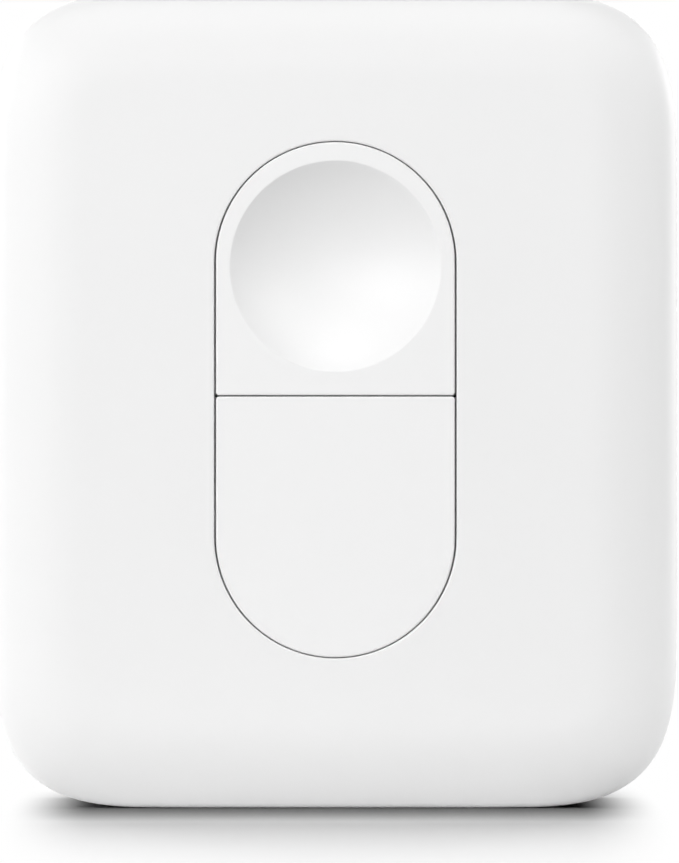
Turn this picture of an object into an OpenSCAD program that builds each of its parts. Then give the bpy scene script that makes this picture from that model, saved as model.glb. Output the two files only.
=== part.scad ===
// Smart button: a two-button, coin-cell wireless remote with a soft-edged white housing.
// It stands on its lower edge. X runs left to right, Y from the front face to the back, Z up.
// Every piece is drawn lying on its back: x to the right, y up the face, z from back to front.

/* [Housing] */
// Width of the housing, left to right
body_w = 36; // [35:0.5:44]
// Height of the housing, lower edge to upper edge
body_h = 43; // [42:0.5:54]
// Corner radius of the outline seen from the front
corner_r = 6; // [5:0.5:7.5]
// Drop of the soft edge that rolls round the front face
front_drop = 2.2; // [1.6:0.1:3.2]
// Reach of that roll across the face
front_reach = 4.6; // [4:0.1:5]
// Rounding of the front cover's inside, behind that roll
inner_round = 2.4; // [1.6:0.1:2.8]
// Radius of the edge round the back face
back_round = 1; // [0.5:0.25:1.5]
// Wall thickness of the front cover
wall = 1.6; // [1.2:0.1:2]
// Thickness of the back cover's plate
back_wall = 1.2; // [1:0.1:1.8]
// Height of the back cover's rim, from the back face to the seam
rim_h = 3; // [2.25:0.25:3.25]
// Height of the lip that plugs into the front cover
lip_h = 1.5; // [1:0.25:1.75]
// Thickness of the lip
lip_t = 1; // [0.8:0.1:1.2]
// Clearance between the lip and the front cover
lip_clear = 0.1; // [0.05:0.05:0.2]
// Radius of the crush ribs that hold the lip
crush_r = 0.3; // [0.2:0.05:0.4]
// Distance of the crush ribs from the middle of a long side
crush_y = 8.6; // [6:0.2:12]
// Distance of the crush ribs from the middle of a short side
crush_x = 7.2; // [6.6:0.2:9]
// Height of the shadow line along the seam
seam_h = 0.2; // [0.1:0.05:0.3]
// Depth of the shadow line along the seam
seam_depth = 0.4; // [0.2:0.1:0.6]
// Width of the pry notch under the lower edge
notch_w = 8; // [5:0.5:12]
// Height of the pry notch
notch_h = 0.9; // [0.6:0.1:1.2]
// Depth of the pry notch
notch_depth = 1; // [0.6:0.1:1.2]

/* [Buttons] */
// Width of the button opening
slot_w = 12.7; // [12:0.1:14]
// Height of the button opening
slot_h = 27.1; // [26:0.1:29]
// Running gap round each button
key_gap = 0.15; // [0.1:0.05:0.25]
// Rise of the split between the buttons above the middle of the opening
split_rise = 0.2; // [-0.6:0.1:0.6]
// Edge rounding of the buttons and of the opening
key_edge = 0.1; // [0.1:0.05:0.3]
// Corner rounding of the buttons where the split meets the opening
key_corner = 0.3; // [0.15:0.05:0.5]
// Width of the flange that keeps a button in the opening
flange_w = 0.8; // [0.6:0.1:1.1]
// Thickness of that flange
flange_t = 0.8; // [0.6:0.1:1]
// Travel of a button
key_travel = 0.3; // [0.2:0.05:0.35]
// Diameter of the dish in the upper button
dish_d = 11; // [9:0.1:11.4]
// Depth of the dish
dish_depth = 2; // [1:0.1:2.8]
// Rounding of the dish's rim
dish_edge = 0.15; // [0.05:0.05:0.25]
// Drop of the dish below the centre of the button's round end
dish_drop = 0.25; // [0:0.05:0.4]
// Wall left under the dish
dish_wall = 0.8; // [0.6:0.1:1.2]
// Depth of the ring hollow round the cup under the dish
hollow_h = 0.6; // [0.3:0.1:0.8]
// Distance of the hollow from the dish's rim
hollow_rim = 0.5; // [0.3:0.1:1]
// Wall left round the hollow of the lower button
key_wall = 1.2; // [1:0.1:1.5]
// Width of the ribs under the lower button
rib_w = 0.8; // [0.6:0.1:1.2]
// Diameter of the post that presses a switch
post_d = 3; // [2.4:0.1:3.6]
// Height of that post below the cup under the dish
post_h = 0.2; // [0.15:0.05:0.4]
// Thickness of the guide wall behind the opening
guide_t = 0.8; // [0.6:0.1:1.2]
// Height of the guide wall
guide_h = 1.2; // [0.8:0.1:1.4]
// Clearance between the guide wall and a button's flange
guide_clear = 0.25; // [0.2:0.05:0.4]

/* [Coin cell] */
// Diameter of the coin cell's cap
cap_d = 20.8; // [19:0.2:21]
// Width of the seal between the cap and the can
seal_w = 0.65; // [0.5:0.05:0.8]
// Width of the can's crimped rim
crimp_w = 1.2; // [0.9:0.1:1.4]
// Height of the coin cell
cell_t = 5; // [4.8:0.1:5.6]
// Sheet thickness of the can and the cap
cell_sheet = 0.3; // [0.2:0.05:0.4]
// Rounding of the can's flat side
can_round = 0.6; // [0.5:0.05:0.8]
// Rounding of the can's crimped side
crimp_round = 0.5; // [0.3:0.05:0.6]
// Height of the cap's skirt
cap_skirt = 1.2; // [0.9:0.1:1.6]
// Clearance of the cell in its well
cell_clear = 0.3; // [0.2:0.05:0.5]
// Height of the pad on the back cover that the cell rests on
cell_pad = 0.2; // [0.1:0.05:0.4]
// Inside diameter of that ring-shaped pad
pad_d = 16.4; // [12:0.4:20]
// Width of the pad
pad_w = 1.2; // [0.8:0.1:2]

/* [Board and chips] */
// Thickness of the circuit board
board_t = 0.8; // [0.6:0.1:1.2]
// Gap of the board and the frame to the front cover's wall
board_clear = 0.3; // [0.2:0.05:0.6]
// Distance of the row of chips from the board's lower edge
chip_in = 3; // [2.6:0.1:3.6]
// Side of the radio chip
chip_w = 4; // [3:0.5:5]
// Height of the radio chip
chip_h = 0.85; // [0.6:0.05:1]
// Length of the crystal
crystal_l = 3.2; // [2:0.1:3.4]
// Width of the crystal
crystal_w = 2.5; // [1.6:0.1:2.6]
// Height of the crystal
crystal_h = 0.7; // [0.5:0.05:0.9]
// Gap between the radio chip and the crystal
crystal_gap = 2.6; // [1:0.1:3]
// Length of a capacitor or resistor
part_l = 1; // [0.6:0.1:1.2]
// Width of a capacitor or resistor
part_w = 0.5; // [0.3:0.05:0.6]
// Height of a capacitor or resistor
part_h = 0.5; // [0.3:0.05:0.6]
// Pitch of these along the row
part_pitch = 1.8; // [1.5:0.1:1.9]
// Gap between the radio chip and the first of these
part_gap = 0.8; // [0.5:0.1:1]
// Distance of these from the middle of the row
part_off = 0.8; // [0.6:0.1:1.4]
// Width of the antenna's track
trace_w = 0.5; // [0.3:0.05:0.6]
// Thickness of the antenna's track
trace_t = 0.1; // [0.05:0.05:0.15]
// Pitch of the antenna's turns
trace_pitch = 1.2; // [0.9:0.1:1.3]
// Height of the antenna's turns
trace_h = 2.2; // [1.5:0.1:2.6]
// Distance of the antenna from the board's upper edge
trace_in = 0.8; // [0.5:0.1:1.2]
// Number of turns of the antenna
trace_turns = 5; // [3:1:6]
// Distance of the status lamp from the middle, to the left
lamp_x = 9; // [8.6:0.1:10]
// Distance of the status lamp from the middle, upwards
lamp_y = 13; // [12:0.1:14]
// Length of the status lamp
lamp_l = 1.6; // [1:0.1:2]
// Width of the status lamp
lamp_w = 0.8; // [0.5:0.1:1.2]
// Height of the status lamp
lamp_h = 0.6; // [0.4:0.1:1]
// Diameter of the thinned spot in front of the lamp
glow_d = 3; // [2:0.1:3.4]
// Wall left at that spot
glow_skin = 0.8; // [0.6:0.1:1]

/* [Switches] */
// Side of a switch
switch_w = 5.2; // [4.8:0.1:5.4]
// Height of a switch to the top of its plunger
switch_h = 1.6; // [1.5:0.1:2]
// Height of a switch's base
base_h = 0.85; // [0.8:0.05:0.95]
// Wall of the base round the dome
base_wall = 0.6; // [0.5:0.05:0.65]
// Thickness of the base under the dome
floor_t = 0.15; // [0.1:0.05:0.2]
// Thickness of the shield
shield_t = 0.15; // [0.1:0.05:0.2]
// Width of the shield's clips
clip_w = 2; // [1:0.1:2.4]
// Diameter of the plunger
plunger_d = 2.5; // [2:0.1:2.6]
// Width of the collar that keeps the plunger under the shield
collar_w = 0.45; // [0.3:0.05:0.5]
// Room left under the plunger at full travel
rest_gap = 0.1; // [0.05:0.01:0.12]
// Sheet thickness of the dome
dome_t = 0.08; // [0.06:0.01:0.1]
// Gap round the dome
dome_clear = 0.2; // [0.1:0.05:0.3]
// Width of a lead
lead_w = 0.7; // [0.4:0.1:0.9]
// Thickness of a lead
lead_t = 0.15; // [0.1:0.05:0.2]
// Height of a lead where it leaves the base
lead_high = 0.4; // [0.35:0.05:0.5]
// Length of a lead
lead_run = 0.9; // [0.8:0.1:1.2]
// Distance of the leads from the switch's middle
lead_y = 1.8; // [1.4:0.1:2]

/* [Contacts] */
// Height of the negative contact between cell and board
contact_h = 0.6; // [0.5:0.05:1]
// Sheet thickness of the contacts
contact_t = 0.2; // [0.15:0.05:0.25]
// Width of the contacts
contact_w = 4; // [3:0.5:5]
// Half the length of the negative contact's foot
leaf_foot = 3; // [2:0.25:4]
// Distance of the negative contact's tips from the cap's edge
leaf_in = 3.3; // [2:0.1:4]
// Length of the flat at each tip
leaf_flat = 0.8; // [0.5:0.1:1.2]
// Length of the positive contact's foot on the board
foot_l = 3.6; // [2.5:0.1:4]
// Set-off of the positive contact's heel from the cell
heel_off = 0.55; // [0.4:0.05:0.8]
// Length of the positive contact's arm, from the board to where it touches the cell
arm_l = 3.1; // [2.4:0.1:3.4]
// Length of its tail past that point
tail_l = 1.8; // [1:0.1:2]
// Clearance at that point
touch = 0.03; // [0.02:0.01:0.05]

/* [Frame and screws] */
// Thickness of the battery frame's plate
frame_t = 1; // [0.8:0.1:1]
// Thickness of the wall round the cell
well_t = 1; // [0.8:0.1:1.2]
// Gap between that wall and the back cover
well_gap = 0.25; // [0.2:0.05:0.5]
// Gap at each side of the positive contact in its window
window_gap = 0.4; // [0.2:0.1:0.6]
// Width of the finger notch that lets the cell out
finger_w = 9; // [7:0.5:10]
// Depth of the finger notch
finger_h = 2.5; // [1.5:0.1:3]
// Thickness of the gussets round the well
gusset_t = 0.8; // [0.6:0.1:1]
// Length of the gussets along the plate
gusset_l = 2; // [1.2:0.1:2.2]
// Height of the gussets along the well
gusset_h = 3; // [1.5:0.1:3.4]
// Distance of the screws from the sides of the housing
screw_in = 5.4; // [5:0.1:5.8]
// Diameter of a screw's shank
screw_d = 1.6; // [1.2:0.1:2]
// Length of a screw under its head
screw_l = 4; // [3.2:0.1:4.2]
// Room past a screw's tip
tip_room = 0.3; // [0.1:0.1:0.4]
// Clearance round a screw
screw_clear = 0.05; // [0.02:0.01:0.1]
// Diameter of a screw's head
head_d = 3; // [2.6:0.1:3.2]
// Height of a screw's head
head_h = 0.9; // [0.6:0.1:1]
// Length of the cross in a screw's head
cross_l = 1.8; // [1.4:0.1:2.2]
// Width of the cross
cross_w = 0.4; // [0.3:0.05:0.5]
// Depth of the cross
cross_h = 0.45; // [0.3:0.05:0.5]
// Diameter of the screw bosses
boss_d = 4; // [3.4:0.1:4.4]

/* [Hidden] */
$fn = 96;
// Length by which a cut runs past what it cuts
over = 1;
// Depth by which joined shapes of one piece sink into each other
sink = 0.05;

// Stack from the back face to the front face
cell_low = back_wall + cell_pad;
cell_top = cell_low + cell_t;
board_low = cell_top + contact_h;
board_top = board_low + board_t;
plunger_top = board_top + switch_h;
body_d = plunger_top + post_h + max(dish_depth + dish_wall, flange_t + wall);
flange_top = body_d - wall;
flange_low = flange_top - flange_t;
cup_low = body_d - dish_depth - dish_wall;

// Housing
inner_w = body_w - 2 * wall;
inner_h = body_h - 2 * wall;
inner_r = corner_r - wall;
lip_in = wall + lip_clear;
tray_in = lip_in + lip_t;
crush_in = wall + crush_r + sink / 2;

// Buttons
key_r = slot_w / 2 - key_gap;
arc_y = (slot_h - slot_w) / 2;
upper_reach = arc_y - split_rise - key_gap / 2;
lower_reach = arc_y + split_rise - key_gap / 2;
dish_y = arc_y - dish_drop;
dish_half = dish_d / 2;
dish_r = (dish_half * dish_half + dish_depth * dish_depth) / (2 * dish_depth);
ball_y = body_d + dish_r - dish_depth;
guide_r = key_r + flange_w + guide_clear;
guide_low = flange_top - guide_h;
post_r = post_d / 2;

// Cell
cap_r = cap_d / 2;
seal_r = cap_r + seal_w;
cell_r = seal_r + crimp_w;
can_h = cell_t - cell_sheet;
can_bend = can_round - cell_sheet;

// Board and frame
board_w = inner_w - 2 * board_clear;
board_h = inner_h - 2 * board_clear;
board_r = inner_r - board_clear;
frame_low = board_low - frame_t;
well_r = cell_r + cell_clear;
well_out = well_r + well_t;
well_low = back_wall + well_gap;
window_reach = heel_off + foot_l + window_gap;
screw_x = body_w / 2 - screw_in;
screw_y = body_h / 2 - screw_in;
hole_d = screw_d + 2 * screw_clear;
pilot_l = screw_l - frame_t - board_t + tip_room;

// Switch, heights above the board
sw_half = switch_w / 2;
shield_top = base_h + shield_t;
well_sw_r = sw_half - base_wall;
plunger_r = plunger_d / 2;
collar_r = plunger_r + collar_w;
collar_high = base_h - sink;
collar_low = floor_t + key_travel + rest_gap;
dome_r = well_sw_r - dome_clear;
dome_high = collar_low - sink / 2;
dome_rise = dome_high - floor_t;
dome_ball = (dome_r * dome_r + dome_rise * dome_rise) / (2 * dome_rise);

// Places on the board
chip_y = chip_in - board_h / 2;
crystal_x = chip_w / 2 + crystal_gap + crystal_l / 2;
part_x = -(chip_w + part_l) / 2 - part_gap;
part_columns = 3;
trace_y = board_h / 2 - trace_in - trace_h;

// Stands the lying piece on its lower edge, with the front face towards -Y
module stand() {
  translate([0, body_d / 2, body_h / 2])
    rotate([90, 0, 0])
      children();
}

// Corner left over between a square corner and its rounding, centred on the rounding
module edge_trim(r, stretch = 1) {
  scale([stretch, 1])
    difference() {
      square(r + over);
      circle(r);
    }
}

// Edge profile of a slab: x outward from the corner's axis, y along the depth
module edge_profile(reach, low, high, top_r = 0, low_r = 0, stretch = 1) {
  difference() {
    translate([0, low])
      square([reach, high - low]);
    if (top_r > 0)
      translate([reach - top_r * stretch, high - top_r])
        edge_trim(top_r, stretch);
    if (low_r > 0)
      translate([reach - low_r, low + low_r])
        mirror([0, 1])
          edge_trim(low_r);
  }
}

// Slab with round corners and, if asked, a round front edge and a round back edge
module soft_slab(w, h, r, low, high, top_r = 0, low_r = 0, stretch = 1) {
  flat_x = w / 2 - r;
  flat_y = h / 2 - r;
  for (q = [0 : 3])
    translate([(q == 0 || q == 3) ? flat_x : -flat_x, q < 2 ? flat_y : -flat_y, 0])
      rotate_extrude(angle = 90, start = 90 * q)
        edge_profile(r, low, high, top_r, low_r, stretch);
  for (s = [1, -1]) {
    translate([0, s * flat_y, 0])
      rotate([90, 0, s * 90])
        linear_extrude(2 * flat_x, center = true)
          edge_profile(r, low, high, top_r, low_r, stretch);
    translate([s * flat_x, 0, 0])
      rotate([90, 0, s > 0 ? 0 : 180])
        linear_extrude(2 * flat_y, center = true)
          edge_profile(r, low, high, top_r, low_r, stretch);
  }
  translate([-flat_x, -flat_y, low])
    cube([2 * flat_x, 2 * flat_y, high - low]);
}

// Carries a profile round the button opening: x outward from the middle line, y along the depth
module round_slot() {
  for (s = [0, 1])
    mirror([0, s, 0])
      translate([0, arc_y, 0])
        rotate_extrude(angle = 180)
          children();
  for (s = [0, 1])
    mirror([s, 0, 0])
      rotate([90, 0, 0])
        linear_extrude(2 * arc_y, center = true)
          children();
}

// One round end with straight sides down to the split, about the centre of the round end
module key_sweep(reach) {
  rotate_extrude(angle = 180)
    children();
  for (s = [0, 1])
    mirror([s, 0, 0])
      rotate([90, 0, 0])
        linear_extrude(reach)
          children();
}

// Button with its flange, rounded along the front edge, at the split and at the split's corners
module key_blank(reach) {
  difference() {
    key_sweep(reach)
      union() {
        edge_profile(key_r, flange_low, body_d, key_edge);
        edge_profile(key_r + flange_w, flange_low, flange_top);
      }
    translate([0, key_edge - reach, body_d - key_edge])
      rotate([90, 0, 90])
        linear_extrude(slot_w, center = true)
          mirror([1, 0])
            edge_trim(key_edge);
    for (s = [0, 1])
      mirror([s, 0, 0])
        translate([key_r - key_corner, key_corner - reach, flange_top])
          mirror([0, 1, 0])
            linear_extrude(body_d)
              edge_trim(key_corner);
  }
}

// Post under a button that presses the switch, up to a height inside the button
module key_post(high) {
  translate([0, 0, plunger_top])
    cylinder(d = post_d, h = high - plunger_top);
}

// Ball of the dish, made larger by the wall under it, cut off at a height
module dish_cup(high) {
  rotate_extrude()
    intersection() {
      translate([0, ball_y])
        circle(dish_r + dish_wall);
      square([dish_d, high]);
    }
}

// Dish with a rounded rim, cut about its own centre
module dish_cut() {
  rim_y = body_d - dish_edge;
  rim_gap = ball_y - rim_y;
  rim_x = sqrt((dish_r + dish_edge) * (dish_r + dish_edge) - rim_gap * rim_gap);
  share = dish_r / (dish_r + dish_edge);
  meet = [rim_x * share, ball_y - rim_gap * share];
  rotate_extrude()
    union() {
      intersection() {
        translate([0, ball_y])
          circle(dish_r);
        square([dish_d, body_d + dish_edge]);
      }
      difference() {
        polygon([meet, [rim_x, body_d], [rim_x, body_d + dish_edge], [0, body_d + dish_edge], [0, body_d]]);
        translate([rim_x, rim_y])
          circle(dish_edge);
        translate([0, ball_y])
          circle(dish_r);
      }
    }
}

module front_cover() {
  color("#f1f1f0")
    stand()
      difference() {
        union() {
          difference() {
            soft_slab(body_w, body_h, corner_r, rim_h, body_d, front_drop, 0, front_reach / front_drop);
            soft_slab(inner_w, inner_h, inner_r, rim_h - over, flange_top, inner_round);
          }
          for (x = [screw_x, -screw_x], y = [screw_y, -screw_y])
            translate([x, y, board_top])
              cylinder(d = boss_d, h = flange_top - board_top + sink);
          round_slot()
            translate([guide_r, guide_low])
              square([guide_t, guide_h + sink]);
        }
        round_slot()
          union() {
            translate([0, flange_top - over])
              square([slot_w / 2, wall + 2 * over]);
            translate([slot_w / 2 + key_edge, body_d - key_edge])
              mirror([1, 0])
                edge_trim(key_edge);
          }
        for (x = [screw_x, -screw_x], y = [screw_y, -screw_y])
          translate([x, y, board_top - sink])
            cylinder(d = hole_d, h = pilot_l + sink);
        translate([-lamp_x, lamp_y, flange_top - sink])
          cylinder(d = glow_d, h = wall - glow_skin + sink);
        difference() {
          soft_slab(body_w + over, body_h + over, corner_r + over / 2, rim_h - seam_h, rim_h + seam_h);
          soft_slab(body_w - 2 * seam_depth, body_h - 2 * seam_depth, corner_r - seam_depth,
            rim_h - over, rim_h + over);
        }
      }
}

module back_cover() {
  color("#efefee")
    stand()
      difference() {
        union() {
          difference() {
            union() {
              soft_slab(body_w, body_h, corner_r, 0, rim_h, 0, back_round);
              soft_slab(body_w - 2 * lip_in, body_h - 2 * lip_in, corner_r - lip_in, back_wall,
                rim_h + lip_h);
            }
            soft_slab(body_w - 2 * tray_in, body_h - 2 * tray_in, corner_r - tray_in, back_wall,
              rim_h + lip_h + over);
          }
          translate([0, 0, back_wall - sink])
            difference() {
              cylinder(d = pad_d + 2 * pad_w, h = cell_pad + sink);
              translate([0, 0, -over])
                cylinder(d = pad_d, h = cell_pad + 2 * over);
            }
          for (s = [1, -1], e = [1, -1]) {
            translate([s * (body_w / 2 - crush_in), e * crush_y, rim_h - sink])
              cylinder(r = crush_r, h = lip_h);
            translate([e * crush_x, s * (body_h / 2 - crush_in), rim_h - sink])
              cylinder(r = crush_r, h = lip_h);
          }
        }
        translate([-notch_w / 2, -body_h / 2 - over, rim_h - notch_h])
          cube([notch_w, notch_depth + over, notch_h + over / 2]);
      }
}

module dish_button() {
  color("#f2f2f1")
    stand()
      difference() {
        union() {
          difference() {
            translate([0, arc_y, 0])
              key_blank(upper_reach);
            translate([0, dish_y, 0])
              difference() {
                translate([0, 0, flange_low - over])
                  cylinder(r = dish_half - hollow_rim, h = hollow_h + over);
                dish_cup(body_d);
              }
          }
          translate([0, dish_y, 0])
            dish_cup(flange_low + sink);
          translate([0, dish_y, 0])
            key_post(cup_low + dish_wall / 2);
        }
        translate([0, dish_y, 0])
          dish_cut();
      }
}

module flat_button() {
  hollow_top = body_d - key_wall;
  color("#f2f2f1")
    stand()
      union() {
        difference() {
          translate([0, -arc_y, 0])
            mirror([0, 1, 0])
              key_blank(lower_reach);
          difference() {
            translate([0, -arc_y, 0])
              mirror([0, 1, 0])
                key_sweep(lower_reach - key_wall)
                  edge_profile(key_r - key_wall, flange_low - over, hollow_top);
            translate([-rib_w / 2, -slot_h / 2, flange_low - 2 * over])
              cube([rib_w, slot_h, body_d]);
            translate([-slot_w / 2, -dish_y - rib_w / 2, flange_low - 2 * over])
              cube([slot_w, rib_w, body_d]);
            translate([0, -dish_y, flange_low - 2 * over])
              cylinder(r = post_r + rib_w, h = body_d);
          }
        }
        translate([0, -dish_y, 0])
          key_post(flange_low + hollow_h);
      }
}

module battery_frame() {
  color("#d9dadb")
    stand()
      difference() {
        union() {
          soft_slab(board_w, board_h, board_r, frame_low, board_low);
          translate([0, 0, well_low])
            cylinder(r = well_out, h = board_low - well_low);
          for (turn = [0 : 60 : 300])
            rotate([90, 0, turn])
              linear_extrude(gusset_t, center = true)
                polygon([
                  [well_out - sink, frame_low + sink], [well_out + gusset_l, frame_low + sink],
                  [well_out - sink, frame_low - gusset_h]
                ]);
        }
        translate([0, 0, well_low - over])
          cylinder(r = well_r, h = board_low - well_low + 2 * over);
        for (x = [screw_x, -screw_x], y = [screw_y, -screw_y])
          translate([x, y, frame_low - over])
            cylinder(d = hole_d, h = frame_t + 2 * over);
        translate([-contact_w / 2 - window_gap, cell_r - over, well_low - over])
          cube([contact_w + 2 * window_gap, window_reach + over, board_low - well_low + 2 * over]);
        translate([-finger_w / 2, -well_out - over, well_low - over])
          cube([finger_w, well_r, finger_h + over]);
      }
}

module main_board() {
  color("#1f6b46")
    stand()
      difference() {
        soft_slab(board_w, board_h, board_r, board_low, board_top);
        for (x = [screw_x, -screw_x], y = [screw_y, -screw_y])
          translate([x, y, board_low - over])
            cylinder(d = hole_d, h = board_t + 2 * over);
      }
}

// Lifts a switch piece on to the board behind the upper (1) or the lower (-1) button
module at_switch(side) {
  stand()
    translate([0, side * dish_y, board_top])
      children();
}

module switch_base(side) {
  color("#2b2c2e")
    at_switch(side)
      difference() {
        translate([-sw_half, -sw_half, 0])
          cube([switch_w, switch_w, base_h]);
        translate([0, 0, floor_t])
          cylinder(r = well_sw_r, h = base_h);
      }
}

module switch_dome(side) {
  color("#b9bcc0")
    at_switch(side)
      rotate_extrude()
        intersection() {
          translate([0, dome_high - dome_ball])
            difference() {
              circle(dome_ball);
              circle(dome_ball - dome_t);
            }
          translate([0, floor_t])
            square([sw_half, dome_rise + sink]);
        }
}

module switch_plunger(side) {
  color("#e4e2dc")
    at_switch(side)
      union() {
        translate([0, 0, collar_low])
          cylinder(r = collar_r, h = collar_high - collar_low);
        translate([0, 0, collar_high - sink])
          cylinder(r = plunger_r, h = switch_h - collar_high + sink);
      }
}

module switch_shield(side) {
  color("#c3c6c9")
    at_switch(side)
      difference() {
        union() {
          translate([-sw_half, -sw_half, base_h])
            cube([switch_w, switch_w, shield_t]);
          for (s = [0, 1])
            mirror([0, s, 0])
              translate([-clip_w / 2, sw_half, floor_t])
                cube([clip_w, shield_t, shield_top - floor_t]);
          translate([-clip_w / 2, -sw_half - shield_t, base_h])
            cube([clip_w, switch_w + 2 * shield_t, shield_t]);
        }
        translate([0, 0, base_h - over])
          cylinder(r = plunger_r + 2 * sink, h = 2 * over);
      }
}

module switch_leads(side) {
  color("#cfcfca")
    at_switch(side)
      for (s = [0, 1], y = [lead_y, -lead_y])
        mirror([s, 0, 0])
          translate([sw_half, y, 0])
            rotate([90, 0, 0])
              linear_extrude(lead_w, center = true)
                polygon([
                  [0, lead_high - lead_t], [0, lead_high], [lead_run / 3, lead_high],
                  [lead_run / 2, lead_t], [lead_run, lead_t], [lead_run, 0],
                  [lead_run / 2 - lead_t, 0], [lead_run / 3 - lead_t, lead_high - lead_t]
                ]);
}

module radio_chip() {
  color("#232427")
    stand()
      translate([-chip_w / 2, chip_y - chip_w / 2, board_top])
        cube([chip_w, chip_w, chip_h]);
}

module crystal_can() {
  color("#c9cbcd")
    stand()
      translate([crystal_x - crystal_l / 2, chip_y - crystal_w / 2, board_top])
        cube([crystal_l, crystal_w, crystal_h]);
}

module antenna_trace() {
  span = trace_turns * trace_pitch;
  color("#b98a4a")
    stand()
      translate([-span, trace_y, board_top])
        union() {
          for (i = [0 : 2 * trace_turns])
            translate([i * trace_pitch - trace_w / 2, 0, 0])
              cube([trace_w, trace_h, trace_t]);
          for (i = [0 : 2 * trace_turns - 1])
            translate([i * trace_pitch, i % 2 == 0 ? trace_h - trace_w : 0, 0])
              cube([trace_pitch, trace_w, trace_t]);
        }
}

module status_led() {
  color("#f3efe2")
    stand()
      translate([-lamp_x - lamp_l / 2, lamp_y - lamp_w / 2, board_top])
        cube([lamp_l, lamp_w, lamp_h]);
}

// Rows of capacitors and resistors beside the radio chip, and the crystal's two load capacitors
module chip_parts() {
  color("#a58d6d")
    stand()
      for (side = [1, -1]) {
        for (i = [0 : part_columns - 1])
          translate([part_x - i * part_pitch - part_l / 2, chip_y + side * part_off - part_w / 2, board_top])
            cube([part_l, part_w, part_h]);
        translate([(chip_w + crystal_gap - part_w) / 2, chip_y + side * part_l - part_l / 2, board_top])
          cube([part_w, part_l, part_h]);
      }
}

module positive_contact() {
  heel = cell_r + heel_off;
  near = cell_r + touch;
  mid = board_low - arm_l;
  bend = near + heel_off / 2;
  color("#d0d2d4")
    stand()
      rotate([90, 0, 90])
        linear_extrude(contact_w, center = true)
          polygon([
            [heel + foot_l, board_low], [heel, board_low], [heel, board_low - contact_t], [near, mid],
            [bend, mid - tail_l], [bend + contact_t, mid - tail_l], [near + contact_t, mid],
            [heel + contact_t, board_low - contact_t], [heel + foot_l, board_low - contact_t]
          ]);
}

module negative_contact() {
  top = board_low;
  tip = cell_top;
  reach = cap_r - leaf_in;
  bend = reach - leaf_flat;
  color("#d0d2d4")
    stand()
      rotate([90, 0, 90])
        linear_extrude(contact_w, center = true)
          polygon([
            [-leaf_foot, top], [leaf_foot, top], [bend, tip + contact_t], [reach, tip + contact_t],
            [reach, tip], [bend, tip], [leaf_foot, top - contact_t], [-leaf_foot, top - contact_t],
            [-bend, tip], [-reach, tip], [-reach, tip + contact_t], [-bend, tip + contact_t]
          ]);
}

// Lifts a piece of the coin cell into the well, its can towards the back cover
module at_cell() {
  stand()
    translate([0, 0, cell_low])
      children();
}

module coin_cell_can() {
  color("#c6c8ca")
    at_cell()
      rotate_extrude()
        difference() {
          edge_profile(cell_r, 0, can_h, crimp_round, can_round);
          edge_profile(cell_r - cell_sheet, cell_sheet, can_h - cell_sheet, 0, can_bend);
          translate([0, can_h / 2])
            square([seal_r, can_h]);
        }
}

module coin_cell_seal() {
  color("#3a3f46")
    at_cell()
      translate([0, 0, cell_t - cap_skirt])
        difference() {
          cylinder(r = seal_r, h = can_h - cell_t + cap_skirt + sink);
          translate([0, 0, -over])
            cylinder(r = cap_r, h = cap_skirt + 2 * over);
        }
}

module coin_cell_cap() {
  color("#d2d4d5")
    at_cell()
      rotate_extrude()
        difference() {
          edge_profile(cap_r, cell_t - cap_skirt, cell_t, cell_sheet);
          square([cap_r - cell_sheet, cell_t - cell_sheet]);
        }
}

module coin_cell_pellet() {
  step_r = cap_r - cell_sheet;
  wide_r = cell_r - cell_sheet - can_bend;
  color("#4a4b4d")
    at_cell()
      rotate_extrude()
        polygon([
          [0, cell_sheet], [wide_r, cell_sheet], [wide_r, cell_t - cap_skirt - sink],
          [step_r - sink, cell_t - cap_skirt - sink], [step_r - sink, cell_t - cell_sheet],
          [0, cell_t - cell_sheet]
        ]);
}

module frame_screws() {
  color("#9fa3a8")
    stand()
      for (x = [screw_x, -screw_x], y = [screw_y, -screw_y])
        translate([x, y, frame_low])
          difference() {
            union() {
              cylinder(d = screw_d, h = screw_l);
              translate([0, 0, -head_h])
                cylinder(d = head_d, h = head_h);
            }
            for (turn = [0, 90])
              rotate([0, 0, turn])
                translate([-cross_l / 2, -cross_w / 2, -head_h - over])
                  cube([cross_l, cross_w, cross_h + over]);
          }
}

front_cover();
back_cover();
dish_button();
flat_button();
battery_frame();
main_board();
switch_base(1);  // upper_switch_base
switch_dome(1);  // upper_switch_dome
switch_plunger(1);  // upper_switch_plunger
switch_shield(1);  // upper_switch_shield
switch_leads(1);  // upper_switch_leads
switch_base(-1);  // lower_switch_base
switch_dome(-1);  // lower_switch_dome
switch_plunger(-1);  // lower_switch_plunger
switch_shield(-1);  // lower_switch_shield
switch_leads(-1);  // lower_switch_leads
radio_chip();
crystal_can();
antenna_trace();
status_led();
chip_parts();
positive_contact();
negative_contact();
coin_cell_can();
coin_cell_seal();
coin_cell_cap();
coin_cell_pellet();
frame_screws();
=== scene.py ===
# %% [markdown]
# # A two-button wireless remote
# The object is a small white remote with soft edges: a dished button over a flat one, both in one
# opening with round ends, and a coin cell behind a cover that pries off. The exact solids come from
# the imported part. This lesson dresses them: each visible shell is worked out again as a finer
# surface, and every piece gets the finish of its real material.

import math

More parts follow.
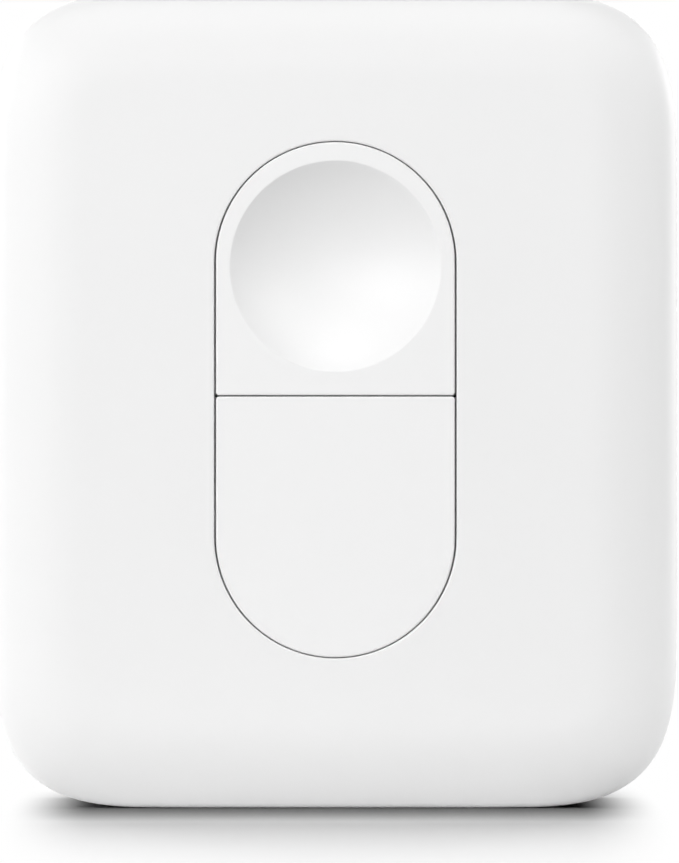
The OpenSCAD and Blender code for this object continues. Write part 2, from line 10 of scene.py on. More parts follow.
import bpy
import numpy as np
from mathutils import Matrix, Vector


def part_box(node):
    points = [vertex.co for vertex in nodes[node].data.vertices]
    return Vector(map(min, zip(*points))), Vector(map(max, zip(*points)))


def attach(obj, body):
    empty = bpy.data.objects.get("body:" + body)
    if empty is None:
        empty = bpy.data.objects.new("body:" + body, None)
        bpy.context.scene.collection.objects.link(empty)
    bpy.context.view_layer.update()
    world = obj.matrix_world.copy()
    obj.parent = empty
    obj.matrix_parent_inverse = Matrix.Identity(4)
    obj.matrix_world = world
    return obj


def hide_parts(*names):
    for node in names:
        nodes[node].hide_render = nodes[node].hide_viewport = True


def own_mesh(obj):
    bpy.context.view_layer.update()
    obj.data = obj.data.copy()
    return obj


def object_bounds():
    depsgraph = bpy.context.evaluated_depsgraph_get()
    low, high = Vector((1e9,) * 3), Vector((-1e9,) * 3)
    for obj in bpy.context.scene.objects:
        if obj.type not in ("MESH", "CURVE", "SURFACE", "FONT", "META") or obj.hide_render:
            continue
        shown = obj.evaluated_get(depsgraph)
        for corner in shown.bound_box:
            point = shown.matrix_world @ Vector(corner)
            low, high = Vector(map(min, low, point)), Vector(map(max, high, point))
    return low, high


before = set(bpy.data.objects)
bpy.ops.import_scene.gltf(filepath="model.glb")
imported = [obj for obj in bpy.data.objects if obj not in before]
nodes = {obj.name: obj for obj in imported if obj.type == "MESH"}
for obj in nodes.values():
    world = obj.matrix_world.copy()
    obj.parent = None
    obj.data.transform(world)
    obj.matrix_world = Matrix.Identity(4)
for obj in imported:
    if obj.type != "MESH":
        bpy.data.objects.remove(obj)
cad_box = [[float(x) for x in corner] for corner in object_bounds()]
print("nodes:", len(nodes), "box in mm:", np.round(np.array(cad_box) * 1000, 2).tolist())

# %% [markdown]
# ## Lying coordinates
# A moulder draws such a remote lying on its back: u to the right, v up the face, w from the back
# to the front, all in millimetres. The part stands on its lower edge, so one function turns the
# lying numbers into the scene's metres, and every later shape is written in the simpler ones.

# %% From lying millimetres to the standing part
MM = 0.001
BODY_W, BODY_D, BODY_H = (np.array(cad_box[1]) - np.array(cad_box[0])) / MM


def stand(u, v, w):
    """Lying point to standing point: x is u, y is half the depth less w, and z is v plus half the height."""
    return np.stack(np.broadcast_arrays(u, BODY_D / 2 - w, v + BODY_H / 2), -1) * MM


print("width, depth, height:", np.round([BODY_W, BODY_D, BODY_H], 2))

# %% [markdown]
# ## Skins
# Every new piece is a grid of points in rows and columns, and its skin is the set of squares
# between neighbours. Joining the last column to the first closes a ring, joining the last row to
# the first closes a hollow loop, and a cap closes an end row with triangles to its middle. Ready-made
# blocks and booleans could give most of these shapes, but their cut edges stay sharp and shade badly,
# while a grid keeps its rows in order, so that every edge can be soft.

# %% A grid of points and its skin
NO_TRIANGLES = np.zeros((0, 3), int)


def weave(points, loop_rows=False, loop_columns=True, caps=()):
    """Skin of a grid: a square for each four neighbours, and a fan of triangles for each capped end."""
    rows, columns = points.shape[:2]
    index = np.arange(rows * columns).reshape(rows, columns)
    net = np.vstack([index, index[:1]]) if loop_rows else index
    net = np.hstack([net, net[:, :1]]) if loop_columns else net
    quads = np.stack([net[:-1, :-1], net[:-1, 1:], net[1:, 1:], net[1:, :-1]], -1).reshape(-1, 4)
    flat, fans = points.reshape(-1, 3), [NO_TRIANGLES]
    for end in caps:
        ring, following = index[end], np.roll(index[end], -1)
        hub = np.full(columns, len(flat))
        flat = np.vstack([flat, points[end].mean(axis=0)])
        fans.append(np.stack([hub, following, ring] if end == 0 else [hub, ring, following], -1))
    return flat, quads, np.vstack(fans)


print("squares between three rings of eight points:", len(weave(np.zeros((3, 8, 3)))[1]))

# %% One object from one or more skins
SHARP = math.radians(38)


def volume_mm3(points, quads, triangles):
    """Volume inside closed skins: a sixth of the sum, over all triangles, of a . (b x c)."""
    faces = np.vstack([triangles, quads[:, [0, 1, 2]], quads[:, [0, 2, 3]]])
    a, b, c = points[faces[:, 0]], points[faces[:, 1]], points[faces[:, 2]]
    return float(np.einsum("ij,ij->", a, np.cross(b, c)) / 6 / MM**3)


def piece(name, skins, finish, body, slot, *replaced):
    """Puts skins into one mesh, shades it smooth up to a sharp angle, and lets it ride on its body."""
    starts = np.cumsum([0] + [len(s[0]) for s in skins])
    points = np.vstack([s[0] for s in skins])
    quads, triangles = (np.vstack([s[k] + n for s, n in zip(skins, starts)]) for k in (1, 2))
    mesh = bpy.data.meshes.new(name)
    mesh.vertices.add(len(points))
    mesh.vertices.foreach_set("co", points.ravel())
    mesh.loops.add(quads.size + triangles.size)
    mesh.loops.foreach_set("vertex_index", np.concatenate([quads.ravel(), triangles.ravel()]))
    mesh.polygons.add(len(quads) + len(triangles))
    first = [np.arange(len(quads)) * 4, quads.size + np.arange(len(triangles)) * 3]
    mesh.polygons.foreach_set("loop_start", np.concatenate(first))
    mesh.update(calc_edges=True)
    mesh.polygons.foreach_set("use_smooth", np.ones(len(mesh.polygons), bool))
    mesh.set_sharp_from_angle(angle=SHARP)
    mesh.materials.append(finish)
    made = bpy.data.objects.new(name, mesh)
    bpy.context.scene.collection.objects.link(made)
    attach(made, body)
    if replaced:
        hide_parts(*replaced)
    # A volume above zero shows that the faces point outwards.
    print(name, "faces:", len(mesh.polygons), "mm3:", round(volume_mm3(points, quads, triangles), 1))
    return made


# %% [markdown]
# ## Colours and nodes
# A colour is written as the sRGB hex value that a paint chart would give, and turned to the
# linear numbers that a shader multiplies. One helper adds any node, sets its properties, and
# feeds its sockets either with plain values or with another node's output.

# %% Colour and node helpers


def paint(code):
    """sRGB hex to linear: c / 12.92 for the darkest tones, and ((c + 0.055) / 1.055) ^ 2.4 above them."""
    c = np.array([int(code[i : i + 2], 16) for i in (1, 3, 5)]) / 255
    linear = np.where(c <= 0.04045, c / 12.92, ((c + 0.055) / 1.055) ** 2.4)
    return (*linear.tolist(), 1.0)


def add(tree, kind, feeds=None, **settings):
    """Adds a node: settings are its own properties, feeds are its sockets' values or links."""
    node = tree.nodes.new(kind)
    for key, value in settings.items():
        setattr(node, key, value)
    for key, value in (feeds or {}).items():
        if isinstance(value, bpy.types.NodeSocket):
            tree.links.new(value, node.inputs[key])
        else:
            node.inputs[key].default_value = value
    return node


def per_mm(size):
    """Texture scale at which one feature of the pattern is so many millimetres wide."""
    return 1 / (size * MM)


def fresh(name):
    """Empty material with its tree, its output and Object coordinates."""
    made = bpy.data.materials.new(name)
    made.use_nodes = True
    tree = made.node_tree
    tree.nodes.clear()
    place = add(tree, "ShaderNodeTexCoord").outputs["Object"]
    return made, tree, add(tree, "ShaderNodeOutputMaterial"), place


print("middle grey in linear numbers:", round(paint("#808080")[0], 3))

# %% [markdown]
# ## Moulded plastics
# The covers and buttons are ABS, shot into a steel mould whose faces were spark-eroded to a fine
# matt grain. To the eye that gives a soft white with a broad, weak sheen and almost no sparkle.
# The grain is about 0.1 mm, and the resin mixes unevenly over a few millimetres, so the colour
# drifts by a shade. One flat colour would look like a drawing, and a photograph of plastic would fit
# one size only, so both patterns are noises of a real size. The same recipe serves the grey frame and
# the small resin parts. Its last steps are a function of their own, because the metals further on end
# in them too.

# %% Surface from two patterns


def surface(tree, output, shades, patterns, roughness, swing, bump, **more):
    """Colour between two shades by the first pattern; roughness a swing to either side by the second,
    which also stands up as a bump, given by its strength and its height in millimetres."""
    tone, grain = (pattern.outputs["Fac"] for pattern in patterns)
    pale, deep = (paint(code) for code in shades)
    colour = add(tree, "ShaderNodeMix", {0: tone, 6: pale, 7: deep}, data_type="RGBA")
    limits = {"To Min": roughness - swing, "To Max": roughness + swing}
    rough = add(tree, "ShaderNodeMapRange", {"Value": grain, **limits})
    raised = add(tree, "ShaderNodeBump", {"Height": grain, "Strength": bump[0], "Distance": bump[1] * MM})
    feeds = {"Base Color": colour.outputs[2], "Roughness": rough.outputs[0], "Normal": raised.outputs[0]}
    shader = add(tree, "ShaderNodeBsdfPrincipled", {**feeds, **more})
    tree.links.new(shader.outputs["BSDF"], output.inputs["Surface"])


# %% Moulded plastic
RESIN_DRIFT, RESIN_SWING, RESIN_BUMP = 9.0, 0.05, 0.5


def moulded(name, pale, deep, roughness, grain=0.11, relief=0.0012, ior=1.5):
    """Moulded resin: colour drifting over some millimetres, roughness and a fine bump from the grain."""
    made, tree, output, place = fresh(name)
    drift = add(tree, "ShaderNodeTexNoise", {"Vector": place, "Scale": per_mm(RESIN_DRIFT), "Detail": 2.0})
    speck = add(tree, "ShaderNodeTexNoise", {"Vector": place, "Scale": per_mm(grain), "Detail": 1.0})
    bump = (RESIN_BUMP, relief)
    surface(tree, output, (pale, deep), (drift, speck), roughness, RESIN_SWING, bump, IOR=ior)
    return made


# The buttons come from a mould of their own: a shade lighter, with a broader and flatter grain.
white_abs = moulded("white_abs_fine_matt", "#f0f0f0", "#eeeeee", 0.42)
key_white_abs = moulded("white_abs_buttons", "#f2f2f2", "#f0f0f0", 0.4, 0.13, 0.0009)
print("plastics:", white_abs.name, key_white_abs.name)

# %% [markdown]
# ## The housing's outline
# Seen from the front the corners are not plain quarter circles: they start gently and tighten
# towards the middle, as a superellipse does. Plain arcs would be simpler, but a highlight breaks where
# an arc meets a straight side. Taking the points by the direction that the edge faces, rather than by
# an angle from the centre, spaces them evenly where the edge turns, and gives the outward direction
# for free.

# %% Superellipse corner and the outline of the housing
CORNER, CORNER_POWER = 10.07, 3.44
CORNER_POINTS, SIDE_POINTS = 41, 8


def bend(turn, power):
    """Quarter superellipse by facing angle a: x is cos(a)^q / n and y is sin(a)^q / n, where q is
    1 / (power - 1) and n is the power-th root of cos(a)^(q power) + sin(a)^(q power)."""
    q = 1 / (power - 1)
    c, s = np.abs(np.cos(turn)) ** q, np.abs(np.sin(turn)) ** q
    n = (c**power + s**power) ** (1 / power)
    return c / n, s / n


def run_to_next(end, quarter):
    """Straight side from the end of a corner to the start of the next: twice the way to the middle."""
    return end * (np.array([-2, 0]) if quarter % 2 == 0 else np.array([0, -2]))


def housing_outline(sides):
    """Closed outline, anticlockwise from the right: four superellipse corners and straight sides,
    whose inner points are at the given shares of each side (top, left, bottom, right)."""
    turn = np.linspace(0, np.pi / 2, CORNER_POINTS)
    arc = CORNER * np.stack(bend(turn, CORNER_POWER), -1)
    out = np.stack([np.cos(turn), np.sin(turn)], -1)
    path, facing = [], []
    for quarter, share in enumerate(sides):
        spin = np.array([[0, 1], [-1, 0]]) if quarter % 2 else np.eye(2)
        spin = -spin if quarter > 1 else spin
        centre = np.array([BODY_W / 2 - CORNER, BODY_H / 2 - CORNER])
        corner = centre * [(1, 1), (-1, 1), (-1, -1), (1, -1)][quarter] + arc @ spin
        path += [corner, corner[-1] + np.outer(share, run_to_next(corner[-1], quarter))]
        facing += [out @ spin, np.repeat(out[-1:] @ spin, len(share), 0)]
    return np.concatenate(path), np.concatenate(facing)


# %% Sides with and without a cut
CUT_STEP = 0.02
NOTCH_HALF, NOTCH_GUIDE = 4.0, 6.0
flat_half = BODY_W / 2 - CORNER


def cut_side(half, guide):
    """Shares of a short side with a cut of so much half width: two points close together at each edge
    of the cut, three inside it, and one guide point beyond it on either side."""
    left = np.array([-guide, -half - CUT_STEP, -half + CUT_STEP, -half / 2])
    x = np.concatenate([left, [0], -left[::-1]])
    return (x + flat_half) / (2 * flat_half)


EVEN = np.linspace(0, 1, SIDE_POINTS + 2)[1:-1]
BOTTOM = cut_side(NOTCH_HALF, NOTCH_GUIDE)
body_path, body_out = housing_outline([EVEN, EVEN, BOTTOM, EVEN])
print("outline points:", len(body_path), "spans:", np.round(np.ptp(body_path, axis=0), 2))

# %% [markdown]
# ## Profiles
# A shell is a profile carried round an outline: each profile point says how far in from the edge
# it is and how high. Moulded edges are never razor sharp, so a line of corners is first softened
# with small arcs. Flat areas between two outlines of different shape are spanned by straight rows.

# %% Soften a profile, carry it, span a flat
LONGEST_REACH = 0.45
INNER_SHARES = [0.01, 0.25, 0.5, 0.75, 0.99]


def soften(corners, radius, steps=4):
    """Rounds the inner corners of an open line with arcs: an arc starts radius * tan(turn / 2) before
    its corner, or at most a set share of the shorter line, and swings by the turn about its own centre."""
    p = np.asarray(corners, float)
    a, b = p[1:-1] - p[:-2], p[2:] - p[1:-1]
    la, lb = np.linalg.norm(a, axis=1), np.linalg.norm(b, axis=1)
    a, b = a / la[:, None], b / lb[:, None]
    turn = np.arctan2(a[:, 0] * b[:, 1] - a[:, 1] * b[:, 0], (a * b).sum(1))
    reach = np.minimum(radius * np.tan(np.abs(turn) / 2), LONGEST_REACH * np.minimum(la, lb))
    bow = reach / np.tan(np.abs(turn) / 2) * np.sign(turn)
    start = p[1:-1] - a * reach[:, None]
    centre = start + np.stack([-a[:, 1], a[:, 0]], -1) * bow[:, None]
    arm, swing = start - centre, turn[:, None] * np.linspace(0, 1, steps + 1)
    c, s = np.cos(swing), np.sin(swing)
    x = centre[:, :1] + arm[:, :1] * c - arm[:, 1:] * s
    y = centre[:, 1:] + arm[:, :1] * s + arm[:, 1:] * c
    return np.vstack([p[:1], np.stack([x, y], -1).reshape(-1, 2), p[-1:]])


def soften_loop(corners, radius, steps):
    """Rounds every corner of a closed line: it runs on over its first two corners, without its bare ends."""
    return soften(corners + corners[:2], radius, steps)[1:-1]


def carry(path, out, inset, height):
    """Carries a profile round an outline: each row is the outline moved inwards by its inset, at its
    height. Both may also differ from column to column."""
    inset, height = (np.atleast_1d(np.asarray(x, float)) for x in (inset, height))
    inset, height = (x[:, None] if x.ndim == 1 else x for x in (inset, height))
    flat = path[None] - inset[..., None] * out[None]
    return stand(flat[..., 0], flat[..., 1], np.broadcast_to(height, flat.shape[:2]))


def span(first, last, shares):
    """Rows between two rings: the first ring plus a share of the way to the last."""
    return first[None] + np.asarray(shares, float)[:, None, None] * (last - first)[None]


print("a softened corner:", np.round(soften([(0, 0), (1, 0), (1, 1)], 0.2, 2), 3).tolist())

# %% [markdown]
# ## Outlines of arcs
# The opening and the buttons have outlines made of arcs joined by straight lines. Curve objects could
# draw them, but here the opening needs exactly as many points as the housing's outline, so that rows
# can span from one to the other. One function lists the points in order, with the way each one faces.

# %% Outline of arcs and lines


def outline(arcs, between):
    """Closed outline of arcs (centre x, centre y, radius, first and last facing angle, points), with
    so many points between the end of an arc and the start of the next."""
    turns = [np.radians(np.linspace(a[3], a[4], a[5])) for a in arcs]
    outs = [np.stack([np.cos(t), np.sin(t)], -1) for t in turns]
    rounds = [np.array(a[:2]) + a[2] * o for a, o in zip(arcs, outs)]
    path, facing = [], []
    for k, count in enumerate(between):
        following = rounds[(k + 1) % len(rounds)][0]
        share = np.linspace(0, 1, count + 2)[1:-1]
        path += [rounds[k], rounds[k][-1] + np.outer(share, following - rounds[k][-1])]
        facing += [outs[k], np.repeat(outs[k][-1:], count, 0)]
    return np.concatenate(path), np.concatenate(facing)


SLOT_W, SLOT_H = 12.7, 27.1
ARC_Y = (SLOT_H - SLOT_W) / 2
top_points = 2 * CORNER_POINTS + len(EVEN)
low_points = 2 * CORNER_POINTS + len(BOTTOM)
slot_path, slot_out = outline(
    [(0, ARC_Y, SLOT_W / 2, 0, 180, top_points), (0, -ARC_Y, SLOT_W / 2, 180, 360, low_points)],
    [len(EVEN), len(EVEN)],
)
print("opening points:", len(slot_path), "spans:", np.round(np.ptp(slot_path, axis=0), 2))

# %% [markdown]
# ## Front cover
# On the real remote this is one thin-walled moulding: a shadow line at the seam, straight sides, a
# soft edge that rolls into the flat face, the opening, and the same wall seen from inside. Carrying
# one closed profile round the outline gives all of that at once, and keeps the wall thickness. A
# bevelled box with a cut hole would come close, but a bevel takes as much from the side as from the
# face, and this edge reaches about twice as far across the face as down the side. The guide wall
# behind the opening and the four screw bosses are closed rings of their own. From here on, a name that
# ends in SOFT is a corner's radius, and one that ends in LEAD is a short flat that runs on past a
# corner.

# %% Front cover
WALL, RIM, SEAM_DEPTH, SEAM_H = 1.6, 3.0, 0.4, 0.2
EDGE_REACH, EDGE_DROP, EDGE_POWER, EDGE_STEPS = 4.6, 2.2, 2.0, 33
INNER_ROUND, KEY_EDGE, ROLL_POINTS = 2.4, 0.1, 9
MID_WALL, HOLE_LEAD, HOLE_SOFT = 6.0, 0.4, 0.1
RIM_SOFT = np.array([0.1, 0.1, 0.05, 0.06])
FLANGE_TOP, SEAM_TOP = BODY_D - WALL, RIM + SEAM_H


def soft_edge(reach, drop, power, steps):
    """Roll from the side to the face by facing angle: inset is reach (1 - x) and height falls short of
    the face by drop (1 - y), on a superellipse quarter."""
    x, y = bend(np.linspace(0, np.pi / 2, steps), power)
    return reach * (1 - x), BODY_D - drop * (1 - y)


rim_line = soften(
    [(WALL, MID_WALL), (WALL, RIM), (SEAM_DEPTH, RIM), (SEAM_DEPTH, SEAM_TOP), (0, SEAM_TOP), (0, MID_WALL)],
    RIM_SOFT,
)
edge_line = soft_edge(EDGE_REACH, EDGE_DROP, EDGE_POWER, EDGE_STEPS)
outer = np.concatenate([carry(body_path, body_out, *line) for line in (rim_line.T, edge_line)])
quarter = np.linspace(0, np.pi / 2, ROLL_POINTS)
roll_in = KEY_EDGE * (1 - np.sin(quarter))
roll_high = BODY_D - KEY_EDGE * (1 - np.cos(quarter))
hole_line = soften([(0, FLANGE_TOP + HOLE_LEAD), (0, FLANGE_TOP), (-HOLE_LEAD, FLANGE_TOP)], HOLE_SOFT)
hole = np.concatenate([carry(slot_path, slot_out, *line) for line in ((-roll_in, roll_high), hole_line.T)])
roof_in = WALL + INNER_ROUND * (1 - np.cos(quarter[::-1]))
roof_high = FLANGE_TOP - INNER_ROUND * (1 - np.sin(quarter[::-1]))
inner = carry(body_path, body_out, roof_in, roof_high)
face_rows, roof_rows = (span(a[-1], b[0], INNER_SHARES) for a, b in ((outer, hole), (hole, inner)))
shell = np.concatenate([outer, face_rows, hole, roof_rows, inner])
print("front cover grid:", shell.shape)

# %% Guide wall and bosses behind the front cover
GUIDE_IN, GUIDE_T, GUIDE_H, GUIDE_SOFT = 7.25, 0.8, 1.2, 0.15
BOSS_R, PILOT_R, PILOT_L, BOSS_SOFT = 2.0, 0.85, 2.5, 0.12
# A skin reaches into its neighbour by the sink, and the hub is the last ring before a closed end.
BOARD_TOP, SINK, HUB = 7.8, 0.05, 0.1
SCREW_X, SCREW_Y = 12.6, 16.1
SCREWS = [(x * SCREW_X, y * SCREW_Y) for x in (1, -1) for y in (1, -1)]


def guide_ring():
    """Closed ring behind the opening: a softened rectangle carried round the opening's own outline."""
    gap, low, high = GUIDE_IN - SLOT_W / 2, FLANGE_TOP - GUIDE_H, FLANGE_TOP + SINK
    far = gap + GUIDE_T
    line = soften([(-gap, high), (-gap, low), (-far, low), (-far, high)], GUIDE_SOFT)
    return weave(carry(slot_path, slot_out, *line.T)[::-1], loop_rows=True)


def circle(x, y, points):
    """Unit directions round a point, and that point for each of them: a circle is carried by -radius."""
    turn = np.linspace(0, 2 * np.pi, points, endpoint=False)
    return np.tile([float(x), float(y)], (points, 1)), np.stack([np.cos(turn), np.sin(turn)], -1)


def lathe(x, y, line, points=96, loop=False):
    """Turned piece: each (radius, height) of the line becomes a circle about an axis through (x, y)."""
    path, out = circle(x, y, points)
    grid = carry(path, out, -line[:, 0], line[:, 1])
    return weave(grid, loop_rows=loop, caps=() if loop else (0, -1))


def boss(x, y):
    """Screw boss: a ring round the pilot hole, closed at the hole's bottom, turned about its own axis."""
    low, deep, high = BOARD_TOP, BOARD_TOP + PILOT_L, FLANGE_TOP + SINK
    line = [(HUB, deep), (PILOT_R, deep), (PILOT_R, low), (BOSS_R, low), (BOSS_R, high), (HUB, high)]
    return lathe(x, y, soften(line, BOSS_SOFT, 3), 40)


front_skins = [weave(shell, loop_rows=True), guide_ring()] + [boss(x, y) for x, y in SCREWS]
piece("front_shell", front_skins, white_abs, "housing", "shell_abs", "front_cover")

# %% [markdown]
# ## Buttons
# Each button is the opening's outline less a running gap, cut straight at the split, with a flange
# behind the face that keeps it in. The upper one has a dish, a piece of a sphere whose rim is just
# broken by a small radius. A ball could be cut out of a block, but the cut would leave a sharp and
# uneven rim. Instead, rings of the sphere are taken towards the button's own outline points, so that
# the rows run smoothly from the round dish to the straight split.

# %% Outline of a button
KEY_GAP, END_GAP, SPLIT_GAP = 0.092, 0.05, 0.065
KEY_CORNER, SPLIT_RISE = 0.16, 0.2
ROUND_POINTS, BEND_POINTS, RUN_POINTS, SPLIT_POINTS = 121, 9, 16, 33
KEY_R = SLOT_W / 2 - KEY_GAP
KEY_ARC_Y = ARC_Y + KEY_GAP - END_GAP
UPPER_SPLIT, LOWER_SPLIT = SPLIT_RISE + SPLIT_GAP / 2, SPLIT_RISE - SPLIT_GAP / 2


def key_outline(radius, split, corner, upper):
    """Outline of a button: a half circle, straight sides, small corners and the straight split. The
    lower button is the same drawn upside down and read backwards, to keep the order anticlockwise."""
    split = split if upper else -split
    low, side = split + corner, radius - corner
    arcs = [
        (side, low, corner, -90, 0, BEND_POINTS),
        (0, KEY_ARC_Y, radius, 0, 180, ROUND_POINTS),
        (-side, low, corner, 180, 270, BEND_POINTS),
    ]
    path, out = outline(arcs, [RUN_POINTS, RUN_POINTS, SPLIT_POINTS])
    return (path, out) if upper else (path[::-1] * [1, -1], out[::-1] * [1, -1])


upper_path, upper_out = key_outline(KEY_R, UPPER_SPLIT, KEY_CORNER, True)
lower_path, lower_out = key_outline(KEY_R, LOWER_SPLIT, KEY_CORNER, False)
print("button spans:", np.round(np.ptp(upper_path, axis=0), 2), np.round(np.ptp(lower_path, axis=0), 2))

# %% Edge, side and flange that both buttons share
FLANGE_W, FLANGE_T, FLANGE_SOFT = 0.8, 0.8, 0.1
FLANGE_LOW = FLANGE_TOP - FLANGE_T
BRIM_LEAD, UNDER_LEAD, SIDE_LEAD = 0.2, 0.3, 0.3


def key_side(path, out, split, upper):
    """Rows from a button's face down its side and round its flange to the flange's underside."""
    low, top = FLANGE_LOW, FLANGE_TOP
    wide, wide_out = key_outline(KEY_R + FLANGE_W, split, KEY_CORNER, upper)
    brim = soften([(BRIM_LEAD, top), (0, top), (0, low), (UNDER_LEAD, low)], FLANGE_SOFT, 3)
    face = carry(path, out, roll_in, roll_high)
    foot = carry(path, out, [0], [top + SIDE_LEAD])
    return np.concatenate([face, foot, carry(wide, wide_out, *brim.T)])


def rings(centre, towards, line):
    """Circles about a centre, one for each (radius, height) of a line, with a point towards each point
    of an outline."""
    way = towards - centre
    way = way / np.linalg.norm(way, axis=1, keepdims=True)
    return carry(np.tile(np.asarray(centre, float), (len(way), 1)), way, -line[:, 0], line[:, 1])


upper_side = key_side(upper_path, upper_out, UPPER_SPLIT, True)
lower_side = key_side(lower_path, lower_out, LOWER_SPLIT, False)
print("rows and columns of a button's side:", upper_side.shape[:2])

# %% Dish
DISH_D, DISH_DEPTH, DISH_EDGE, DISH_DROP = 11.05, 2.0, 0.15, 0.21
DISH_ROWS, DISH_RIM_ROWS, FIRST_TILT = 41, 7, 0.01
DISH_Y = ARC_Y - DISH_DROP
BALL = ((DISH_D / 2) ** 2 + DISH_DEPTH**2) / (2 * DISH_DEPTH)
BALL_HIGH = BODY_D + BALL - DISH_DEPTH


def dish_line():
    """Radius and height across the dish: a sphere of radius (r^2 + d^2) / 2d from the middle to where the
    rim's small circle, which also touches the face, meets it, and then that circle up to the face."""
    drop = BALL_HIGH - (BODY_D - DISH_EDGE)
    rim = math.sqrt((BALL + DISH_EDGE) ** 2 - drop**2)
    lean = math.atan2(rim, drop)
    tilt = np.linspace(FIRST_TILT, lean, DISH_ROWS)
    hollow = np.stack([BALL * np.sin(tilt), BALL_HIGH - BALL * np.cos(tilt)], -1)
    roll = np.linspace(np.pi / 2 + lean, np.pi / 2, DISH_RIM_ROWS)[1:]
    edge = np.stack([rim + DISH_EDGE * np.cos(roll), BODY_D - DISH_EDGE + DISH_EDGE * np.sin(roll)], -1)
    return np.vstack([hollow, edge])


dish = dish_line()
print("dish rim radius:", round(float(dish[-1, 0]), 3), "depth:", round(float(BODY_D - dish[0, 1]), 3))

# %% Dished button
DISH_WALL, HOLLOW_R, HOLLOW_H, POST_R = 0.8, 5.0, 0.6, 1.5
CUP_ROWS, CUP_SOFT = 12, 0.08
PLUNGER_TOP = 9.4


def cup_line():
    """Underside by radius and height: a ring hollow, then the dish's sphere one wall further out, then
    the post."""
    roof, ball = FLANGE_LOW + HOLLOW_H, BALL + DISH_WALL
    wide = math.asin(math.sqrt(ball**2 - (BALL_HIGH - roof) ** 2) / ball)
    tilt = np.linspace(wide, math.asin(POST_R / ball), CUP_ROWS)
    cup = np.stack([ball * np.sin(tilt), BALL_HIGH - ball * np.cos(tilt)], -1)
    ring = [(HOLLOW_R + UNDER_LEAD, FLANGE_LOW), (HOLLOW_R, FLANGE_LOW), (HOLLOW_R, roof)]
    return soften(np.vstack([ring, cup, [(POST_R, PLUNGER_TOP), (HUB, PLUNGER_TOP)]]), CUP_SOFT, 3)


dish_centre = (0, DISH_Y)
bowl = rings(dish_centre, upper_path, dish)
belly = rings(dish_centre, upper_path, cup_line())
face_rows, under_rows = span(bowl[-1], upper_side[0], INNER_SHARES), span(upper_side[-1], belly[0], [0.5])
upper_rows = np.concatenate([bowl, face_rows, upper_side, under_rows, belly])
dish_skin = weave(upper_rows[::-1], caps=(0, -1))
piece("dish_key", [dish_skin], key_white_abs, "upper_key", "key_abs", "dish_button")

# %% Flat button, hollow behind, with a ribbed post
KEY_WALL, RIB_W, RIB_START, RIB_SOFT = 1.2, 0.8, 2.1, 0.12
POST_FOOT, FACE_RINGS = 2.6, (0.1, 2.0, 4.0)
under_face, rib_r = BODY_D - KEY_WALL, POST_R + RIB_W
flat_centre = (0, -DISH_Y)
hollow_path, hollow_out = key_outline(KEY_R - KEY_WALL, LOWER_SPLIT - KEY_WALL, KEY_CORNER, False)
hollow_line = soften(
    [(-UNDER_LEAD, FLANGE_LOW), (0, FLANGE_LOW), (0, under_face), (UNDER_LEAD, under_face)], FLANGE_SOFT, 3
)
post_line = soften(
    [(POST_FOOT, under_face), (rib_r, under_face), (rib_r, FLANGE_LOW)]
    + [(POST_R, FLANGE_LOW), (POST_R, PLUNGER_TOP), (HUB, PLUNGER_TOP)],
    CUP_SOFT,
    3,
)
flat_top = rings(flat_centre, lower_path, np.array([(r, BODY_D) for r in FACE_RINGS]))
pocket = carry(hollow_path, hollow_out, *hollow_line.T)
post = rings(flat_centre, lower_path, post_line)
face_rows, under_rows = span(flat_top[-1], lower_side[0], INNER_SHARES), span(pocket[-1], post[0], [0.5])
lower_rows = np.concatenate([flat_top, face_rows, lower_side, pocket, under_rows, post])


def rib(x, y, run_x, run_y):
    """Straight rib under the flat button: a softened bar from a point along a run, sunk into the walls."""
    low, high = FLANGE_LOW, under_face + SINK
    along = np.array([run_x, run_y], float)
    across = np.array([run_y, -run_x]) / np.linalg.norm(along) * RIB_W / 2
    line = soften([(-1, high), (-1, low), (1, low), (1, high)], RIB_SOFT, 3)
    ends = np.array([x, y]) + np.outer([0, 1], along)
    flat = ends[:, None] + line[None, :, :1] * across
    return weave(stand(flat[..., 0], flat[..., 1], line[None, :, 1]), caps=(0, -1))


reach = KEY_R - KEY_WALL + SINK
rib_up, rib_down = RIB_START - DISH_Y, -RIB_START - DISH_Y
flat_skins = [
    weave(lower_rows[::-1], caps=(0, -1)),
    rib(RIB_START, -DISH_Y, reach - RIB_START, 0),
    rib(-RIB_START, -DISH_Y, RIB_START - reach, 0),
    rib(0, rib_up, 0, LOWER_SPLIT - KEY_WALL + SINK - rib_up),
    rib(0, rib_down, 0, -ARC_Y - reach - rib_down),
]
piece("flat_key", flat_skins, key_white_abs, "lower_key", "key_abs", "flat_button")

# %% [markdown]
# ## Back cover
# The cover is a shallow tray: a flat back with a rounded edge, a rim up to the seam, and a lip that
# plugs into the front cover, held by small crush ribs. A fingernail fits the notch in the lower
# edge. The notch is a second profile with as many points as the plain one, used for the columns
# inside its width, so that it is cut into the rim without any boolean.

